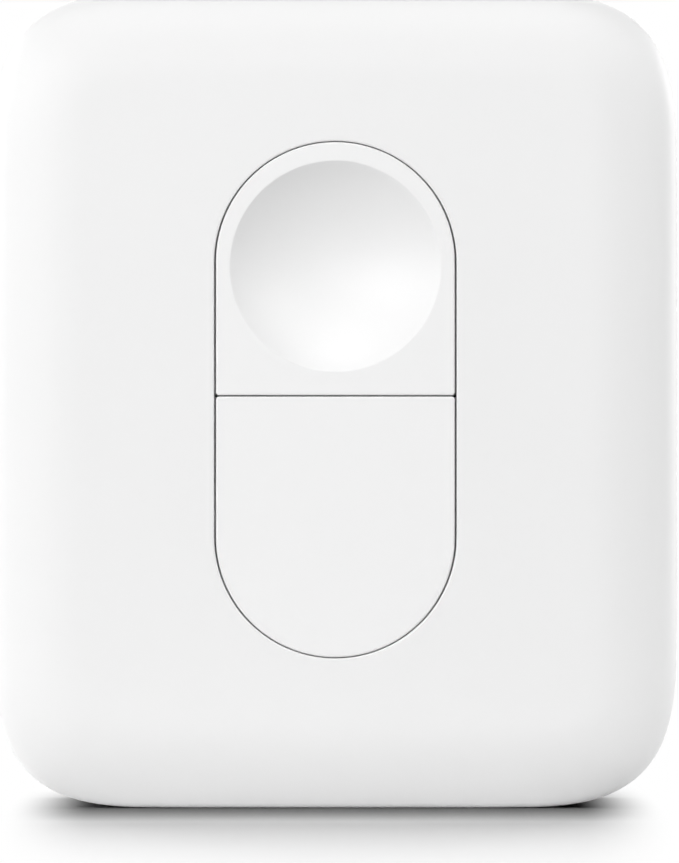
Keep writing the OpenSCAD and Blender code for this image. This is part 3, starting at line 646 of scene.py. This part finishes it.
# %% Profiles of the back cover, plain and notched
BACK_ROUND, BACK_WALL = 1.0, 1.2
LIP_IN, LIP_T, LIP_H = 1.7, 1.0, 1.5
NOTCH_H, NOTCH_DEPTH = 0.9, 1.0
TRAY_IN, LEDGE_LEAD = 4.0, 0.1
EDGE_SOFT, NOTCH_SOFT, LIP_SOFT = [0.06], [0.06, 0.05, 0.06], [0.05, 0.15, 0.15, 0.4]
lip_far, lip_top, notch_low = LIP_IN + LIP_T, RIM + LIP_H, RIM - NOTCH_H
lip_line = [(LIP_IN, RIM), (LIP_IN, lip_top), (lip_far, lip_top), (lip_far, BACK_WALL), (TRAY_IN, BACK_WALL)]
notch_line = [(0, BACK_ROUND), (0, notch_low), (NOTCH_DEPTH, notch_low), (NOTCH_DEPTH, RIM)]
plain = soften([(0, BACK_ROUND), (0, RIM)] + lip_line, np.array(EDGE_SOFT + LIP_SOFT))
notched = soften(notch_line + lip_line, np.array(NOTCH_SOFT + LIP_SOFT))
# The plain profile gets its missing points on the ledge, after its first point and first soft corner.
first_corner = 1 + 5
ledge = np.linspace([LEDGE_LEAD, RIM], [LIP_IN - LEDGE_LEAD, RIM], len(notched) - len(plain))
plain = np.vstack([plain[:first_corner], ledge, plain[first_corner:]])
print("points of the two profiles:", len(plain), len(notched))

# %% Back cover
BACK_SHARES, TRAY_SHARES = [0.02, 0.4, 0.8, 0.99], [0.01, 0.5, 0.98]
in_notch = (np.abs(body_path[:, 0]) < NOTCH_HALF) & (body_path[:, 1] < 0)
tray = np.where(in_notch[None, :, None], notched[:, None], plain[:, None])
round_in = BACK_ROUND * (1 - np.sin(quarter))
round_high = BACK_ROUND * (1 - np.cos(quarter))
edge = carry(body_path, body_out, round_in, round_high)
walls = carry(body_path, body_out, tray[..., 0], tray[..., 1])
middle, floor_middle = (np.tile(stand(0, 0, w), (len(body_path), 1)) for w in (0, BACK_WALL))
back_rows, tray_rows = span(middle, edge[0], BACK_SHARES), span(walls[-1], floor_middle, TRAY_SHARES)
cover = np.concatenate([back_rows, edge, walls[1:], tray_rows])
print("back cover grid:", cover.shape)

# %% Pad ring and crush ribs
PAD_R, PAD_W, PAD_H, PAD_SOFT = 8.2, 1.2, 0.2, 0.06
CRUSH_R, CRUSH_IN, CRUSH_HUB, CRUSH_SOFT = 0.3, 1.925, 0.02, 0.12
CRUSH_Y, CRUSH_X = 8.6, 7.2
pad_low, pad_high, pad_out = BACK_WALL - SINK, BACK_WALL + PAD_H, PAD_R + PAD_W
pad = soften(
    [(PAD_R, pad_low), (pad_out, pad_low), (pad_out, pad_high), (PAD_R, pad_high), (PAD_R, BACK_WALL)],
    PAD_SOFT,
    3,
)
crush_top = RIM + LIP_H - SINK
crush = [(CRUSH_HUB, RIM), (CRUSH_R, RIM), (CRUSH_R, crush_top), (CRUSH_HUB, crush_top)]
crush = soften(crush, CRUSH_SOFT, 3)
crush_at = [(s * (BODY_W / 2 - CRUSH_IN), e * CRUSH_Y) for s in (1, -1) for e in (1, -1)]
crush_at += [(e * CRUSH_X, s * (BODY_H / 2 - CRUSH_IN)) for s in (1, -1) for e in (1, -1)]
back_skins = [weave(cover, caps=(0, -1)), lathe(0, 0, pad, loop=True)]
back_skins += [lathe(x, y, crush, 20) for x, y in crush_at]
piece("back_shell", back_skins, white_abs, "rear_cover", "shell_abs", "back_cover")

# %% [markdown]
# ## Sheet metal
# Behind the back cover the eye meets bright sheet: the stainless can of the coin cell, the
# nickel-plated contact and the zinc-plated screws. Rolled or turned metal shows fine lines one way,
# which a noise gives when it is stretched far along them and kept thin across them. The lines are
# really a few microns wide; they are drawn about 0.06 mm wide, so that they show at all. Anisotropic
# gloss would stretch the highlights too, but it shows no single lines.

# %% Metal
METAL_SWING, METAL_BUMP, METAL_RELIEF = 0.08, 0.4, 0.0006


def metal(name, pale, deep, roughness, along=5.0, across=0.06):
    """Plated or rolled metal: colour, roughness and bump follow one noise stretched along x."""
    made, tree, output, place = fresh(name)
    scale = (per_mm(along), per_mm(across), per_mm(across))
    grid = add(tree, "ShaderNodeMapping", {"Vector": place, "Scale": scale})
    lines = add(tree, "ShaderNodeTexNoise", {"Vector": grid.outputs["Vector"], "Scale": 1.0, "Detail": 3.0})
    bump = (METAL_BUMP, METAL_RELIEF)
    surface(tree, output, (pale, deep), (lines, lines), roughness, METAL_SWING, bump, Metallic=1.0)
    return made


# Rolled stainless is a cool grey with long lines, nickel plating is brighter and warmer, and zinc
# plating is bluish and cloudy, with short specks in place of lines.
cell_steel = metal("stainless_sheet_rolled", "#c9cbcc", "#bfc1c3", 0.3)
contact_steel = metal("spring_steel_nickel_plated", "#cfcdc8", "#c4c2bd", 0.24, 3.0, 0.05)
screw_steel = metal("steel_zinc_plated", "#a9adb2", "#979ba1", 0.34, 0.3, 0.2)
print("metals:", cell_steel.name, contact_steel.name, screw_steel.name)

# %% [markdown]
# ## Coin cell
# The can is drawn from one round sheet: a flat bottom with a rounded edge, straight sides, and a
# rim that is crimped over the seal. It is turned from one line that runs out along the outside and
# back along the inside, so that the sheet keeps its thickness. A bevelled cylinder would have neither
# the crimp nor the hollow. The stamped plus sign is the only mark, raised a few hundredths of a
# millimetre.

# %% Coin cell can and its plus sign
CELL_LOW, CELL_R, CELL_SHEET = 1.4, 12.25, 0.3
CAN_TOP, SEAL_R, CRIMP_DROP = 6.1, 11.05, 0.2
CAN_SOFT = np.array([0.6, 0.5, 0.06, 0.06, 0.1, 0.3])
PLUS_ARM, PLUS_HALF, PLUS_RISE, PLUS_SINK, PLUS_SOFT = 2.4, 0.35, 0.04, 0.02, 0.2
inside_r, inside_low, crimp_low = CELL_R - CELL_SHEET, CELL_LOW + CELL_SHEET, CAN_TOP - CELL_SHEET
can_line = soften(
    [(HUB, CELL_LOW), (CELL_R, CELL_LOW), (CELL_R, CAN_TOP), (SEAL_R, CAN_TOP), (SEAL_R, crimp_low)]
    + [(inside_r, crimp_low - CRIMP_DROP), (inside_r, inside_low), (HUB, inside_low)],
    CAN_SOFT,
    8,
)


def plus_sign():
    """Raised plus: twelve softened corners round the middle, carried from below the sheet to just above
    it, each row the same outline times a share."""
    a, b = PLUS_ARM, PLUS_HALF
    arm = [(a, -b), (a, b), (b, b)]
    turned = [(x * c - y * s, x * s + y * c) for c, s in [(1, 0), (0, 1), (-1, 0), (0, -1)] for x, y in arm]
    path = soften_loop(turned, PLUS_SOFT, 4)
    sunk, half, top = CELL_LOW + PLUS_SINK, CELL_LOW - PLUS_RISE / 2, CELL_LOW - PLUS_RISE
    rows = [(1.0, sunk), (1.0, half), (0.97, top), (0.5, top)]
    grid = np.stack([stand(path[:, 0] * k, path[:, 1] * k, np.full(len(path), h)) for k, h in rows])
    return weave(grid[::-1], caps=(0, -1))


can_skins = [lathe(0, 0, can_line, 144), plus_sign()]
piece("cell_can", can_skins, cell_steel, "housing", "cell_steel", "coin_cell_can")

# %% [markdown]
# ## Battery frame
# The frame is a grey moulding that carries the cell: a plate as large as the board, a round well
# with six gussets, a finger notch that lets the cell out, and a window for the contact. The plate
# and the well are one closed profile between two outlines, the housing's and the cell's. In the
# notch the well's rows are lowered, and at the window they run along a straight edge instead. Cutting
# them from a plate is the other way, but one grid stays closed and keeps its edges soft.

# %% Outlines of the frame
frame_grey_abs = moulded("grey_abs_frame", "#d6d7d8", "#d2d3d4", 0.48, 0.12, 0.0012)
FRAME_IN, FRAME_LOW, BOARD_LOW, FRAME_GUIDE = 1.9, 6.0, 7.0, 6.5
WELL_IN, WELL_OUT, WELL_LOW, WELL_TOP = 12.55, 13.55, 1.45, 6.6
WINDOW_HALF, WINDOW_TOP = 2.4, 16.8
FINGER_HALF, FINGER_TOP = 4.5, 3.95
RIGHT_IF_MIDDLE = 1e-9
window_side, finger_side = cut_side(WINDOW_HALF, FRAME_GUIDE), cut_side(FINGER_HALF, FRAME_GUIDE)
plate_path, plate_out = housing_outline([window_side, EVEN, finger_side, EVEN])
plate_path = plate_path - FRAME_IN * plate_out
in_window = (np.abs(plate_path[:, 0]) < WINDOW_HALF) & (plate_path[:, 1] > 0)
in_finger = (np.abs(plate_path[:, 0]) < FINGER_HALF) & (plate_path[:, 1] < -BODY_H / 3)
# The edges of the cuts are seen at other angles on the plate than on the well, so angles are matched.
seen_at = np.arctan2(plate_path[:, 1], np.abs(plate_path[:, 0]))
plate_half = BODY_H / 2 - FRAME_IN
known = [-np.pi / 2, -math.atan2(plate_half, FINGER_HALF), 0, math.atan2(plate_half, WINDOW_HALF), np.pi / 2]
wanted = [-np.pi / 2, -math.acos(FINGER_HALF / WELL_IN), 0, math.acos(WINDOW_HALF / WELL_IN), np.pi / 2]
well_at = np.interp(seen_at, known, wanted)
to_side = np.sign(plate_path[:, 0] + RIGHT_IF_MIDDLE)
well_way = np.stack([np.cos(well_at) * to_side, np.sin(well_at)], -1)
print("frame columns:", len(plate_path), "in window:", in_window.sum(), "in notch:", in_finger.sum())

# %% Plate and well
WELL_SOFT, FOOT_LEAD, WINDOW_TURN = np.array([0.25, 0.25, 0.5]), 0.8, 0.45
BRIM_IN, BRIM_UP, BRIM_DOWN, BRIM_SOFT = 0.5, 6.5, 6.4, 0.15
well_line = soften(
    [(WELL_IN, WELL_TOP), (WELL_IN, WELL_LOW), (WELL_OUT, WELL_LOW)]
    + [(WELL_OUT, FRAME_LOW), (WELL_OUT + FOOT_LEAD, FRAME_LOW)],
    WELL_SOFT,
    6,
)
share = np.linspace(0, 1, len(well_line))
window_off = np.interp(share, [0, WINDOW_TURN, 1], [0, 0, FOOT_LEAD])
window_high = np.interp(share, [0, WINDOW_TURN, 1], [WELL_TOP, FRAME_LOW, FRAME_LOW])
lowered = FRAME_LOW - (FRAME_LOW - well_line[:, 1]) * (FRAME_LOW - FINGER_TOP) / (FRAME_LOW - WELL_LOW)
lowered = np.where(well_line[:, 1] < FRAME_LOW, lowered, well_line[:, 1])
straight = np.stack([plate_path[:, 0], np.full(len(plate_path), WINDOW_TOP)], -1)
flat = np.where(
    in_window[None, :, None],
    straight[None] + window_off[:, None, None] * np.array([0, 1]),
    well_line[:, :1, None] * well_way[None],
)
high = np.where(in_window, window_high[:, None], np.where(in_finger, lowered[:, None], well_line[:, 1:]))
well = stand(flat[..., 0], flat[..., 1], high)
brim_line = soften([(0, BRIM_UP), (0, BOARD_LOW), (BRIM_IN, BOARD_LOW)], BRIM_SOFT)
brim_top = carry(plate_path, plate_out, *brim_line.T)
brim_line = soften([(BRIM_IN, FRAME_LOW), (0, FRAME_LOW), (0, BRIM_DOWN)], BRIM_SOFT)
brim_low = carry(plate_path, plate_out, *brim_line.T)
well_top = stand(flat[0, :, 0], flat[0, :, 1], np.full(len(plate_path), BOARD_LOW))
top_rows, low_rows = span(brim_top[-1], well_top, [0.5, 1.0]), span(well[-1], brim_low[0], [0.05, 0.5, 0.95])
frame_grid = np.concatenate([brim_top, top_rows, well, low_rows, brim_low])
print("frame grid:", frame_grid.shape)

# %% Gussets round the well
GUSSETS, GUSSET_T, GUSSET_L, GUSSET_H, GUSSET_SOFT = 6, 0.8, 2.0, 3.0, 0.15


def gusset(turn):
    """Triangular rib from the plate to the well, softened along its edge, at an angle round the cell."""
    near, far, foot = WELL_OUT - SINK, WELL_OUT + GUSSET_L, FRAME_LOW + SINK
    loop = soften_loop([(near, foot), (near, FRAME_LOW - GUSSET_H), (far, foot)], GUSSET_SOFT, 3)
    centre = loop.mean(axis=0)
    rows = [(-1, 0.9), (-0.8, 1.0), (0.8, 1.0), (1, 0.9)]
    c, s = math.cos(math.radians(turn)), math.sin(math.radians(turn))
    made = []
    for side, swell in rows:
        r, h = (centre + (loop - centre) * swell).T
        off = side * GUSSET_T / 2
        made.append(stand(r * c - off * s, r * s + off * c, h))
    return weave(np.stack(made), caps=(0, -1))


frame_skins = [weave(frame_grid, loop_rows=True)] + [gusset(360 / GUSSETS * k) for k in range(GUSSETS)]
piece("cell_frame", frame_skins, frame_grey_abs, "housing", "frame_abs", "battery_frame")

# %% [markdown]
# ## Contact and screws
# The contact is a strip of spring steel bent twice: a foot on the board, an arm that leans on the
# can, and a tail that leads the cell in. A rectangle with broken edges is carried along its softened
# middle line. A screw head is a surface of radius and angle, a low crown with a cross pressed into it.
# The cross could be cut, but pressing it into the heights leaves soft edges, as a punch does.

# %% Positive contact
CONTACT_W, CONTACT_T, CONTACT_SOFT = 4.0, 0.2, 0.06
FOOT_END, FOOT_BEND, TOUCH, TAIL_END = (16.4, 6.9), (12.9, 6.9), (12.38, 3.9), (12.66, 2.1)
BEND_SOFT = np.array([0.35, 0.5])


def strip(line, width, thick):
    """Bent strip: at each point of its middle line, in (v, w), a softened rectangle stands across it."""
    along = np.gradient(line, axis=0)
    along = along / np.linalg.norm(along, axis=1, keepdims=True)
    normal = np.stack([-along[:, 1], along[:, 0]], -1)
    a, b = width / 2, thick / 2
    loop = soften_loop([(-a, -b), (a, -b), (a, b), (-a, b)], CONTACT_SOFT, 3)
    flat = line[:, None] + loop[None, :, 1:] * normal[:, None]
    grid = stand(np.broadcast_to(loop[:, 0], flat.shape[:2]), flat[..., 0], flat[..., 1])
    return weave(grid[::-1], caps=(0, -1))


contact_line = soften([FOOT_END, FOOT_BEND, TOUCH, TAIL_END], BEND_SOFT, 8)
contact_skin = strip(contact_line, CONTACT_W, CONTACT_T)
piece("plus_contact", [contact_skin], contact_steel, "housing", "contact_steel", "positive_contact")

# %% Screws
HEAD_R, HEAD_H, HEAD_CROWN, HEAD_ROWS, HEAD_SOFT = 1.5, 0.9, 0.18, 30, 0.12
CROSS_L, CROSS_W, CROSS_H, CROSS_FADE = 1.8, 0.4, 0.45, 0.12
CROSS_INSIDE, CROSS_OUTSIDE = 0.06, 0.02
RIM_W, RIM_START, RIM_LIFT, RIM_DROP = 0.25, 0.2, 0.02, 0.15
SHANK_R, SHANK_L, FIRST_RING = 0.8, 4.0, 0.03


def ramp(x, start, end):
    """Smooth step: 0 up to start, 1 from end on, and 3t^2 - 2t^3 between them."""
    t = np.clip((x - start) / (end - start), 0, 1)
    return t * t * (3 - 2 * t)


def cross_arm(along, across):
    """Depth share of two arms of the cross: 1 in the middle, fading out at their ends and their sides."""
    ends = 1 - ramp(along, CROSS_L / 2 - CROSS_FADE, CROSS_L / 2)
    return ends * (1 - ramp(across, CROSS_W / 2 - CROSS_INSIDE, CROSS_W / 2 + CROSS_OUTSIDE))


def screw(x, y):
    """Screw: crown = a share of (radius / head radius)^2, less a cross whose arms fade out at their edges,
    then the head's side and the shank as turned rows."""
    low, tip = FRAME_LOW - HEAD_H, FRAME_LOW + SHANK_L
    path, out = circle(0, 0, 96)
    radius = np.linspace(FIRST_RING, HEAD_R - RIM_W, HEAD_ROWS)
    flat = radius[:, None, None] * out[None]
    dx, dy = np.abs(flat[..., 0]), np.abs(flat[..., 1])
    crown = HEAD_CROWN * (radius[:, None] / HEAD_R) ** 2
    cross = CROSS_H * np.maximum(cross_arm(dx, dy), cross_arm(dy, dx))
    top = stand(flat[..., 0] + x, flat[..., 1] + y, low + crown + cross)
    edge = low + HEAD_CROWN * ((HEAD_R - RIM_W) / HEAD_R) ** 2
    line = soften(
        [(HEAD_R - RIM_START, edge + RIM_LIFT), (HEAD_R, edge + RIM_DROP), (HEAD_R, FRAME_LOW)]
        + [(SHANK_R, FRAME_LOW), (SHANK_R, tip), (HUB, tip)],
        HEAD_SOFT,
        3,
    )
    rest = carry(path + [x, y], out, -line[:, 0], line[:, 1])
    return weave(np.concatenate([top, rest]), caps=(0, -1))


screw_skins = [screw(x, y) for x, y in SCREWS]
piece("cross_screws", screw_skins, screw_steel, "housing", "screw_steel", "frame_screws")

# %% [markdown]
# ## Finishes of the hidden parts
# The board, the switches and the chips stay as exact solids: their shapes are simple and right, and
# the covers hide them. Each still gets the finish of its real material, because a part library
# shows them taken apart. Solder mask is a thin green lacquer over copper tracks, which show
# through it as slightly paler bands. The bands are a wave whose length at scale 1 is a tenth of pi.

# %% Solder mask over copper tracks
TRACK_PITCH, TRACK_SHARE, TRACK_RELIEF = 2.394, 0.62, 0.02
MASK_DRIFT, MASK_BUMP = 4.0, 0.3


def solder_mask(name):
    """Green lacquer: bands about 2.4 mm apart for the tracks under it, over a slow drift of the green."""
    made, tree, output, place = fresh(name)
    pale, deep, band = paint("#1b5e3a"), paint("#185534"), paint("#2f7a4c")
    drift = add(tree, "ShaderNodeTexNoise", {"Vector": place, "Scale": per_mm(MASK_DRIFT), "Detail": 2.0})
    pitch = {"Vector": place, "Scale": per_mm(TRACK_PITCH) * math.pi / 10}
    tracks = add(tree, "ShaderNodeTexWave", {**pitch, "Distortion": 2.0, "Detail": 1.0})
    wave = tracks.outputs["Fac"]
    mask = add(tree, "ShaderNodeMath", {0: wave, 1: TRACK_SHARE}, operation="GREATER_THAN").outputs[0]
    green = add(tree, "ShaderNodeMix", {0: drift.outputs["Fac"], 6: pale, 7: deep}, data_type="RGBA")
    copper = add(tree, "ShaderNodeMix", {0: mask, 6: green.outputs[2], 7: band}, data_type="RGBA")
    relief = {"Strength": MASK_BUMP, "Distance": TRACK_RELIEF * MM}
    bump = add(tree, "ShaderNodeBump", {"Height": mask, **relief})
    feeds = {"Base Color": copper.outputs[2], "Normal": bump.outputs["Normal"]}
    shader = add(tree, "ShaderNodeBsdfPrincipled", {**feeds, "Roughness": 0.32, "IOR": 1.5})
    tree.links.new(shader.outputs["BSDF"], output.inputs["Surface"])
    return made


board_green = solder_mask("green_solder_mask")
print("board:", board_green.name)

# %% Finish for every node that stays
# Heatproof resin and chip epoxy are dull and black, nylon is milky, and the lamp is glossy resin over
# a yellow phosphor. Fired ceramic is a matt tan, the seal is satin, and pressed powder is dull all over.
black_resin = moulded("black_heatproof_resin", "#2a2b2d", "#242527", 0.5, 0.08, 0.002)
chip_epoxy = moulded("black_chip_epoxy", "#232326", "#1d1d20", 0.62, 0.05, 0.003)
nylon = moulded("off_white_nylon", "#e4e1d8", "#dcd9cf", 0.42, 0.15, 0.001)
lens_resin = moulded("clear_resin_over_phosphor", "#f0ead0", "#ece2ba", 0.16, 0.3, 0.0005, 1.54)
tan_ceramic = moulded("tan_capacitor_ceramic", "#a88f70", "#96795a", 0.55, 0.07, 0.002, 1.7)
seal_resin = moulded("dark_polypropylene_seal", "#383d43", "#31363c", 0.4, 0.12, 0.001)
oxide = moulded("pressed_oxide_powder", "#474748", "#3a3a3b", 0.85, 0.09, 0.006)
# Spring steel is the glossiest of the metals, tin is softer and cloudy, and the gilding is warm.
bright_steel = metal("bright_spring_steel", "#cdd0d3", "#c2c5c9", 0.2, 2.0, 0.05)
tin = metal("tinned_brass", "#d5d3cc", "#cac7bf", 0.3, 0.5, 0.1)
nickel = metal("nickel_plated_lid", "#c8cacb", "#bdbfc1", 0.26, 2.0, 0.05)
gold = metal("gold_plated_copper", "#cfa35a", "#c09346", 0.3, 0.8, 0.08)
FINISH = {
    "main_board": board_green,
    "radio_chip": chip_epoxy,
    "crystal_can": nickel,
    "antenna_trace": gold,
    "status_led": lens_resin,
    "chip_parts": tan_ceramic,
    "negative_contact": contact_steel,
    "coin_cell_seal": seal_resin,
    "coin_cell_cap": cell_steel,
    "coin_cell_pellet": oxide,
}
for side_name in ("upper", "lower"):
    FINISH[f"{side_name}_switch_base"] = black_resin
    FINISH[f"{side_name}_switch_shield"] = bright_steel
    FINISH[f"{side_name}_switch_plunger"] = nylon
    FINISH[f"{side_name}_switch_leads"] = tin
for name, finish in FINISH.items():
    nodes[name].data.materials.clear()
    nodes[name].data.materials.append(finish)
print("finished nodes:", len(FINISH))

# %% [markdown]
# ## Snap domes
# What clicks under each button is a thin dome of spring steel that the plunger presses flat. A dome
# that stayed stiff would be pierced at full travel. Here it is made anew as a sheet between two ball
# caps, with a mesh of its own, in place of the imported dome.

# %% Snap domes
# A pressed dome keeps the flat share of its height.
DOME_SHEET, DOME_FLAT, DOME_STEPS, DOME_START = 0.08, 0.25, 16, 0.02


def snap_dome(node):
    """Sheet between two ball caps with one centre: for an edge radius r and a rise h, the outer ball's
    radius is (r^2 + h^2) / 2h, and the inner one's is less by the sheet."""
    low, high = np.array(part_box(node)) / MM
    r, rise = high[0], high[1] - low[1]
    foot, middle = BODY_D / 2 - high[1], (low[2] + high[2] - BODY_H) / 2
    outer = (r * r + rise * rise) / (2 * rise)
    inner, sunk = outer - DOME_SHEET, outer - rise
    turn = np.linspace(DOME_START, 1, DOME_STEPS)
    below, above = turn * math.acos(sunk / inner), turn[::-1] * math.acos(sunk / outer)
    radius = np.concatenate([inner * np.sin(below), outer * np.sin(above)])
    height = np.concatenate([inner * np.cos(below), outer * np.cos(above)]) - sunk
    return lathe(0, middle, np.stack([radius, foot + height], -1)), (0, high[1] * MM, 0)


for side_name in ("upper", "lower"):
    node = f"{side_name}_switch_dome"
    skin, floor_point = snap_dome(node)
    dome = piece(f"{side_name}_snap_dome", [skin], bright_steel, "housing", "spring_steel", node)
    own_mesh(dome)

# %% [markdown]
# ## Floor, light and camera
# The photograph is a product shot on white: the upper and left edges fade into the background, a
# grey rim stays on the right, and a short dark shade lies under the object. No single lamp gives all
# of that. A studio sets flags and cards, so that each lamp meets only what it is meant for, and light
# linking does the same here: ten soft lights shine on the object alone, and two on the floor alone.
# The shade under the object is partly the floor lights' own shadow and partly painted shade: the floor's
# colour turns dark grey where a point of the floor sees little open space. Away from the object the floor
# bounces less light, as grey cards would, and outside a long oval the eye sees it as plain white. The
# surroundings are seen as white, and give no light.

# %% Floor grid and seen rays
FLOOR_HALF = 1500.0


def floor_plane():
    """Flat square under the object, one face, at height zero."""
    side = np.array([-1.0, 1.0]) * FLOOR_HALF * MM
    x, y = np.meshgrid(side, side)
    return np.stack([x, y, np.zeros_like(x)], -1)


def seen_rays(tree):
    """One for rays that show a surface as itself, to the camera or in gloss or glass, and zero for
    bounced light."""
    ray = add(tree, "ShaderNodeLightPath").outputs
    seen = ray["Is Camera Ray"]
    for kind in ("Is Glossy Ray", "Is Transmission Ray"):
        seen = add(tree, "ShaderNodeMath", {0: seen, 1: ray[kind]}, operation="MAXIMUM").outputs[0]
    return seen


print("floor:", FLOOR_HALF * 2, "mm square")

# %% White paper floor
# Paper is matt, and its fibres move the tone so little that it looks even.
FIBRE = 0.6
CONTACT_REACH, CONTACT_POWER = 11.0, 3.5
CARD_START, CARD_FULL = 15.0, 34.0
POOL_W, POOL_D, POOL_EDGE = 34.6, 220.0, 0.74
pale, deep, dark, card = (paint(code) for code in ("#f8f8f8", "#f6f6f6", "#6c6c6c", "#b4b4b4"))
white_paper, tree, output, place = fresh("white_paper_sweep")
fibre = add(tree, "ShaderNodeTexNoise", {"Vector": place, "Scale": per_mm(FIBRE), "Detail": 3.0})
tone = add(tree, "ShaderNodeMix", {0: fibre.outputs["Fac"], 6: pale, 7: deep}, data_type="RGBA")
# Painted shade: where the AO node finds the object within CONTACT_REACH, the floor's colour is mixed towards
# the dark grey, as a contact shadow.
open_sky = add(tree, "ShaderNodeAmbientOcclusion", {"Distance": CONTACT_REACH * MM}, samples=16)
contact = add(tree, "ShaderNodeMath", {0: open_sky.outputs["AO"], 1: CONTACT_POWER}, operation="POWER")
shade = add(tree, "ShaderNodeMix", {0: contact.outputs[0], 6: dark, 7: tone.outputs[2]}, data_type="RGBA")
sheet = add(tree, "ShaderNodeBsdfDiffuse", {"Color": shade.outputs[2]})
away = add(tree, "ShaderNodeVectorMath", {0: place}, operation="LENGTH")
limits = {"From Min": CARD_START * MM, "From Max": CARD_FULL * MM}
cards = add(tree, "ShaderNodeMapRange", {"Value": away.outputs["Value"], **limits})
grey = add(tree, "ShaderNodeMix", {0: cards.outputs["Result"], 6: deep, 7: card}, data_type="RGBA")
bounce = add(tree, "ShaderNodeBsdfDiffuse", {"Color": grey.outputs[2]})
oval = (2 / (POOL_W * MM), 2 / (POOL_D * MM), 0.0)
pool = add(tree, "ShaderNodeMapping", {"Vector": place, "Scale": oval})
pool = add(tree, "ShaderNodeVectorMath", {0: pool.outputs["Vector"]}, operation="LENGTH")
limits = {"Value": pool.outputs["Value"], "From Min": POOL_EDGE}
clear = add(tree, "ShaderNodeMapRange", limits, interpolation_type="SMOOTHSTEP").outputs["Result"]
white = add(tree, "ShaderNodeEmission", {"Color": paint("#ffffff"), "Strength": 1.0})
seen = add(tree, "ShaderNodeMixShader", {0: clear, 1: sheet.outputs[0], 2: white.outputs[0]})
paper = add(tree, "ShaderNodeMixShader", {0: seen_rays(tree), 1: bounce.outputs[0], 2: seen.outputs[0]})
tree.links.new(paper.outputs[0], output.inputs["Surface"])
floor_mesh = bpy.data.meshes.new("paper_floor")
floor_points, floor_quads, _ = weave(floor_plane(), loop_columns=False)
floor_mesh.from_pydata(floor_points.tolist(), [], floor_quads.tolist())
floor_mesh.materials.append(white_paper)
paper_floor = bpy.data.objects.new("paper_floor", floor_mesh)
bpy.context.scene.collection.objects.link(paper_floor)
print("paper:", white_paper.name, "nodes:", len(tree.nodes))

# %% White surroundings
world = bpy.data.worlds.new("white_studio")
bpy.context.scene.world = world
world.use_nodes = True
sky = world.node_tree
sky.nodes.clear()
white = add(sky, "ShaderNodeBackground", {"Color": paint("#ffffff"), "Strength": seen_rays(sky)})
add(sky, "ShaderNodeOutputWorld", {"Surface": white.outputs[0]})
print("surroundings:", world.name)

# %% Soft lights
LIGHT_AWAY, LIGHT_SIDE = 600.0, 400.0
AIM = np.array([0.0, 0.0, BODY_H / 2]) * MM
# For each light: degrees round from the front to the right, degrees up, and watts.
OBJECT_LIGHTS = {
    "front_softbox": (-12, 5, 1.27),
    "front_left_softbox": (-45, 5, 1.63),
    "front_right_softbox": (45, 25, 0.8),
    "overhead_light": (0, 60, 1.3),
    "left_light": (-90, 5, 1.2),
    "right_light": (90, 25, 0.42),
    "back_left_light": (-120, 8, 1.4),
    "back_right_light": (116, 8, 2.1),
    "back_light": (180, 5, 1.3),
    "back_high_light": (180, 50, 0.5),
}
FLOOR_LIGHTS = {
    "floor_back_softbox": (180, 55, 3.78),
    "floor_front_light": (-45, 25, 3.56),
}


def flag(name, state):
    """List of what a light meets: only the floor where it is included, or all but the floor where it is
    excluded."""
    made = bpy.data.collections.new(name)
    made.objects.link(paper_floor)
    made.collection_objects[0].light_linking.link_state = state
    return made


def softbox(name, meets, round_by, up_by, power):
    """Square light facing the object, so many degrees round from the front to its right and so many up."""
    turn, rise = math.radians(round_by), math.radians(up_by)
    way = np.array([math.sin(turn) * math.cos(rise), -math.cos(turn) * math.cos(rise), math.sin(rise)])
    lamp = bpy.data.lights.new(name, "AREA")
    lamp.size = LIGHT_SIDE * MM
    lamp.energy = power
    made = bpy.data.objects.new(name, lamp)
    bpy.context.scene.collection.objects.link(made)
    made.location = AIM + way * LIGHT_AWAY * MM
    made.rotation_euler = (math.pi / 2 - rise, 0, turn)
    made.light_linking.receiver_collection = meets


off_floor, on_floor = flag("all_but_the_floor", "EXCLUDE"), flag("only_the_floor", "INCLUDE")
for name, numbers in OBJECT_LIGHTS.items():
    softbox(name, off_floor, *numbers)
for name, numbers in FLOOR_LIGHTS.items():
    softbox(name, on_floor, *numbers)
print("lights:", list(OBJECT_LIGHTS), list(FLOOR_LIGHTS))

# %% [markdown]
# ## Camera
# The photograph looks straight at the face. Its scale and the middle of the housing were measured in
# pixels, in the plane where the housing's outline is widest to the eye. With a distance that suits so
# small an object, they give the lens and the camera's place.

# %% Camera
FRAME_W, FRAME_H = 679, 863
PX_PER_MM = 18.97
BODY_PX = (335.4, 399.9)
DISTANCE = 350.0
EDGE_PLANE = -4.0
SENSOR = 36.0

camera = bpy.data.cameras.new("front_camera")
camera.sensor_width = SENSOR
camera.lens = SENSOR * DISTANCE / (FRAME_H / PX_PER_MM)
camera.clip_end = 10.0
camera_x = (FRAME_W / 2 - BODY_PX[0]) / PX_PER_MM
camera_z = BODY_H / 2 - (FRAME_H / 2 - BODY_PX[1]) / PX_PER_MM
eye = bpy.data.objects.new("front_camera", camera)
bpy.context.scene.collection.objects.link(eye)
eye.location = np.array([camera_x, EDGE_PLANE - DISTANCE, camera_z]) * MM
eye.rotation_euler = (math.pi / 2, 0, 0)
bpy.context.scene.camera = eye
bpy.context.scene.view_settings.view_transform = "Standard"
print("lens:", round(camera.lens, 1), "camera at", np.round([camera_x, camera_z], 3))
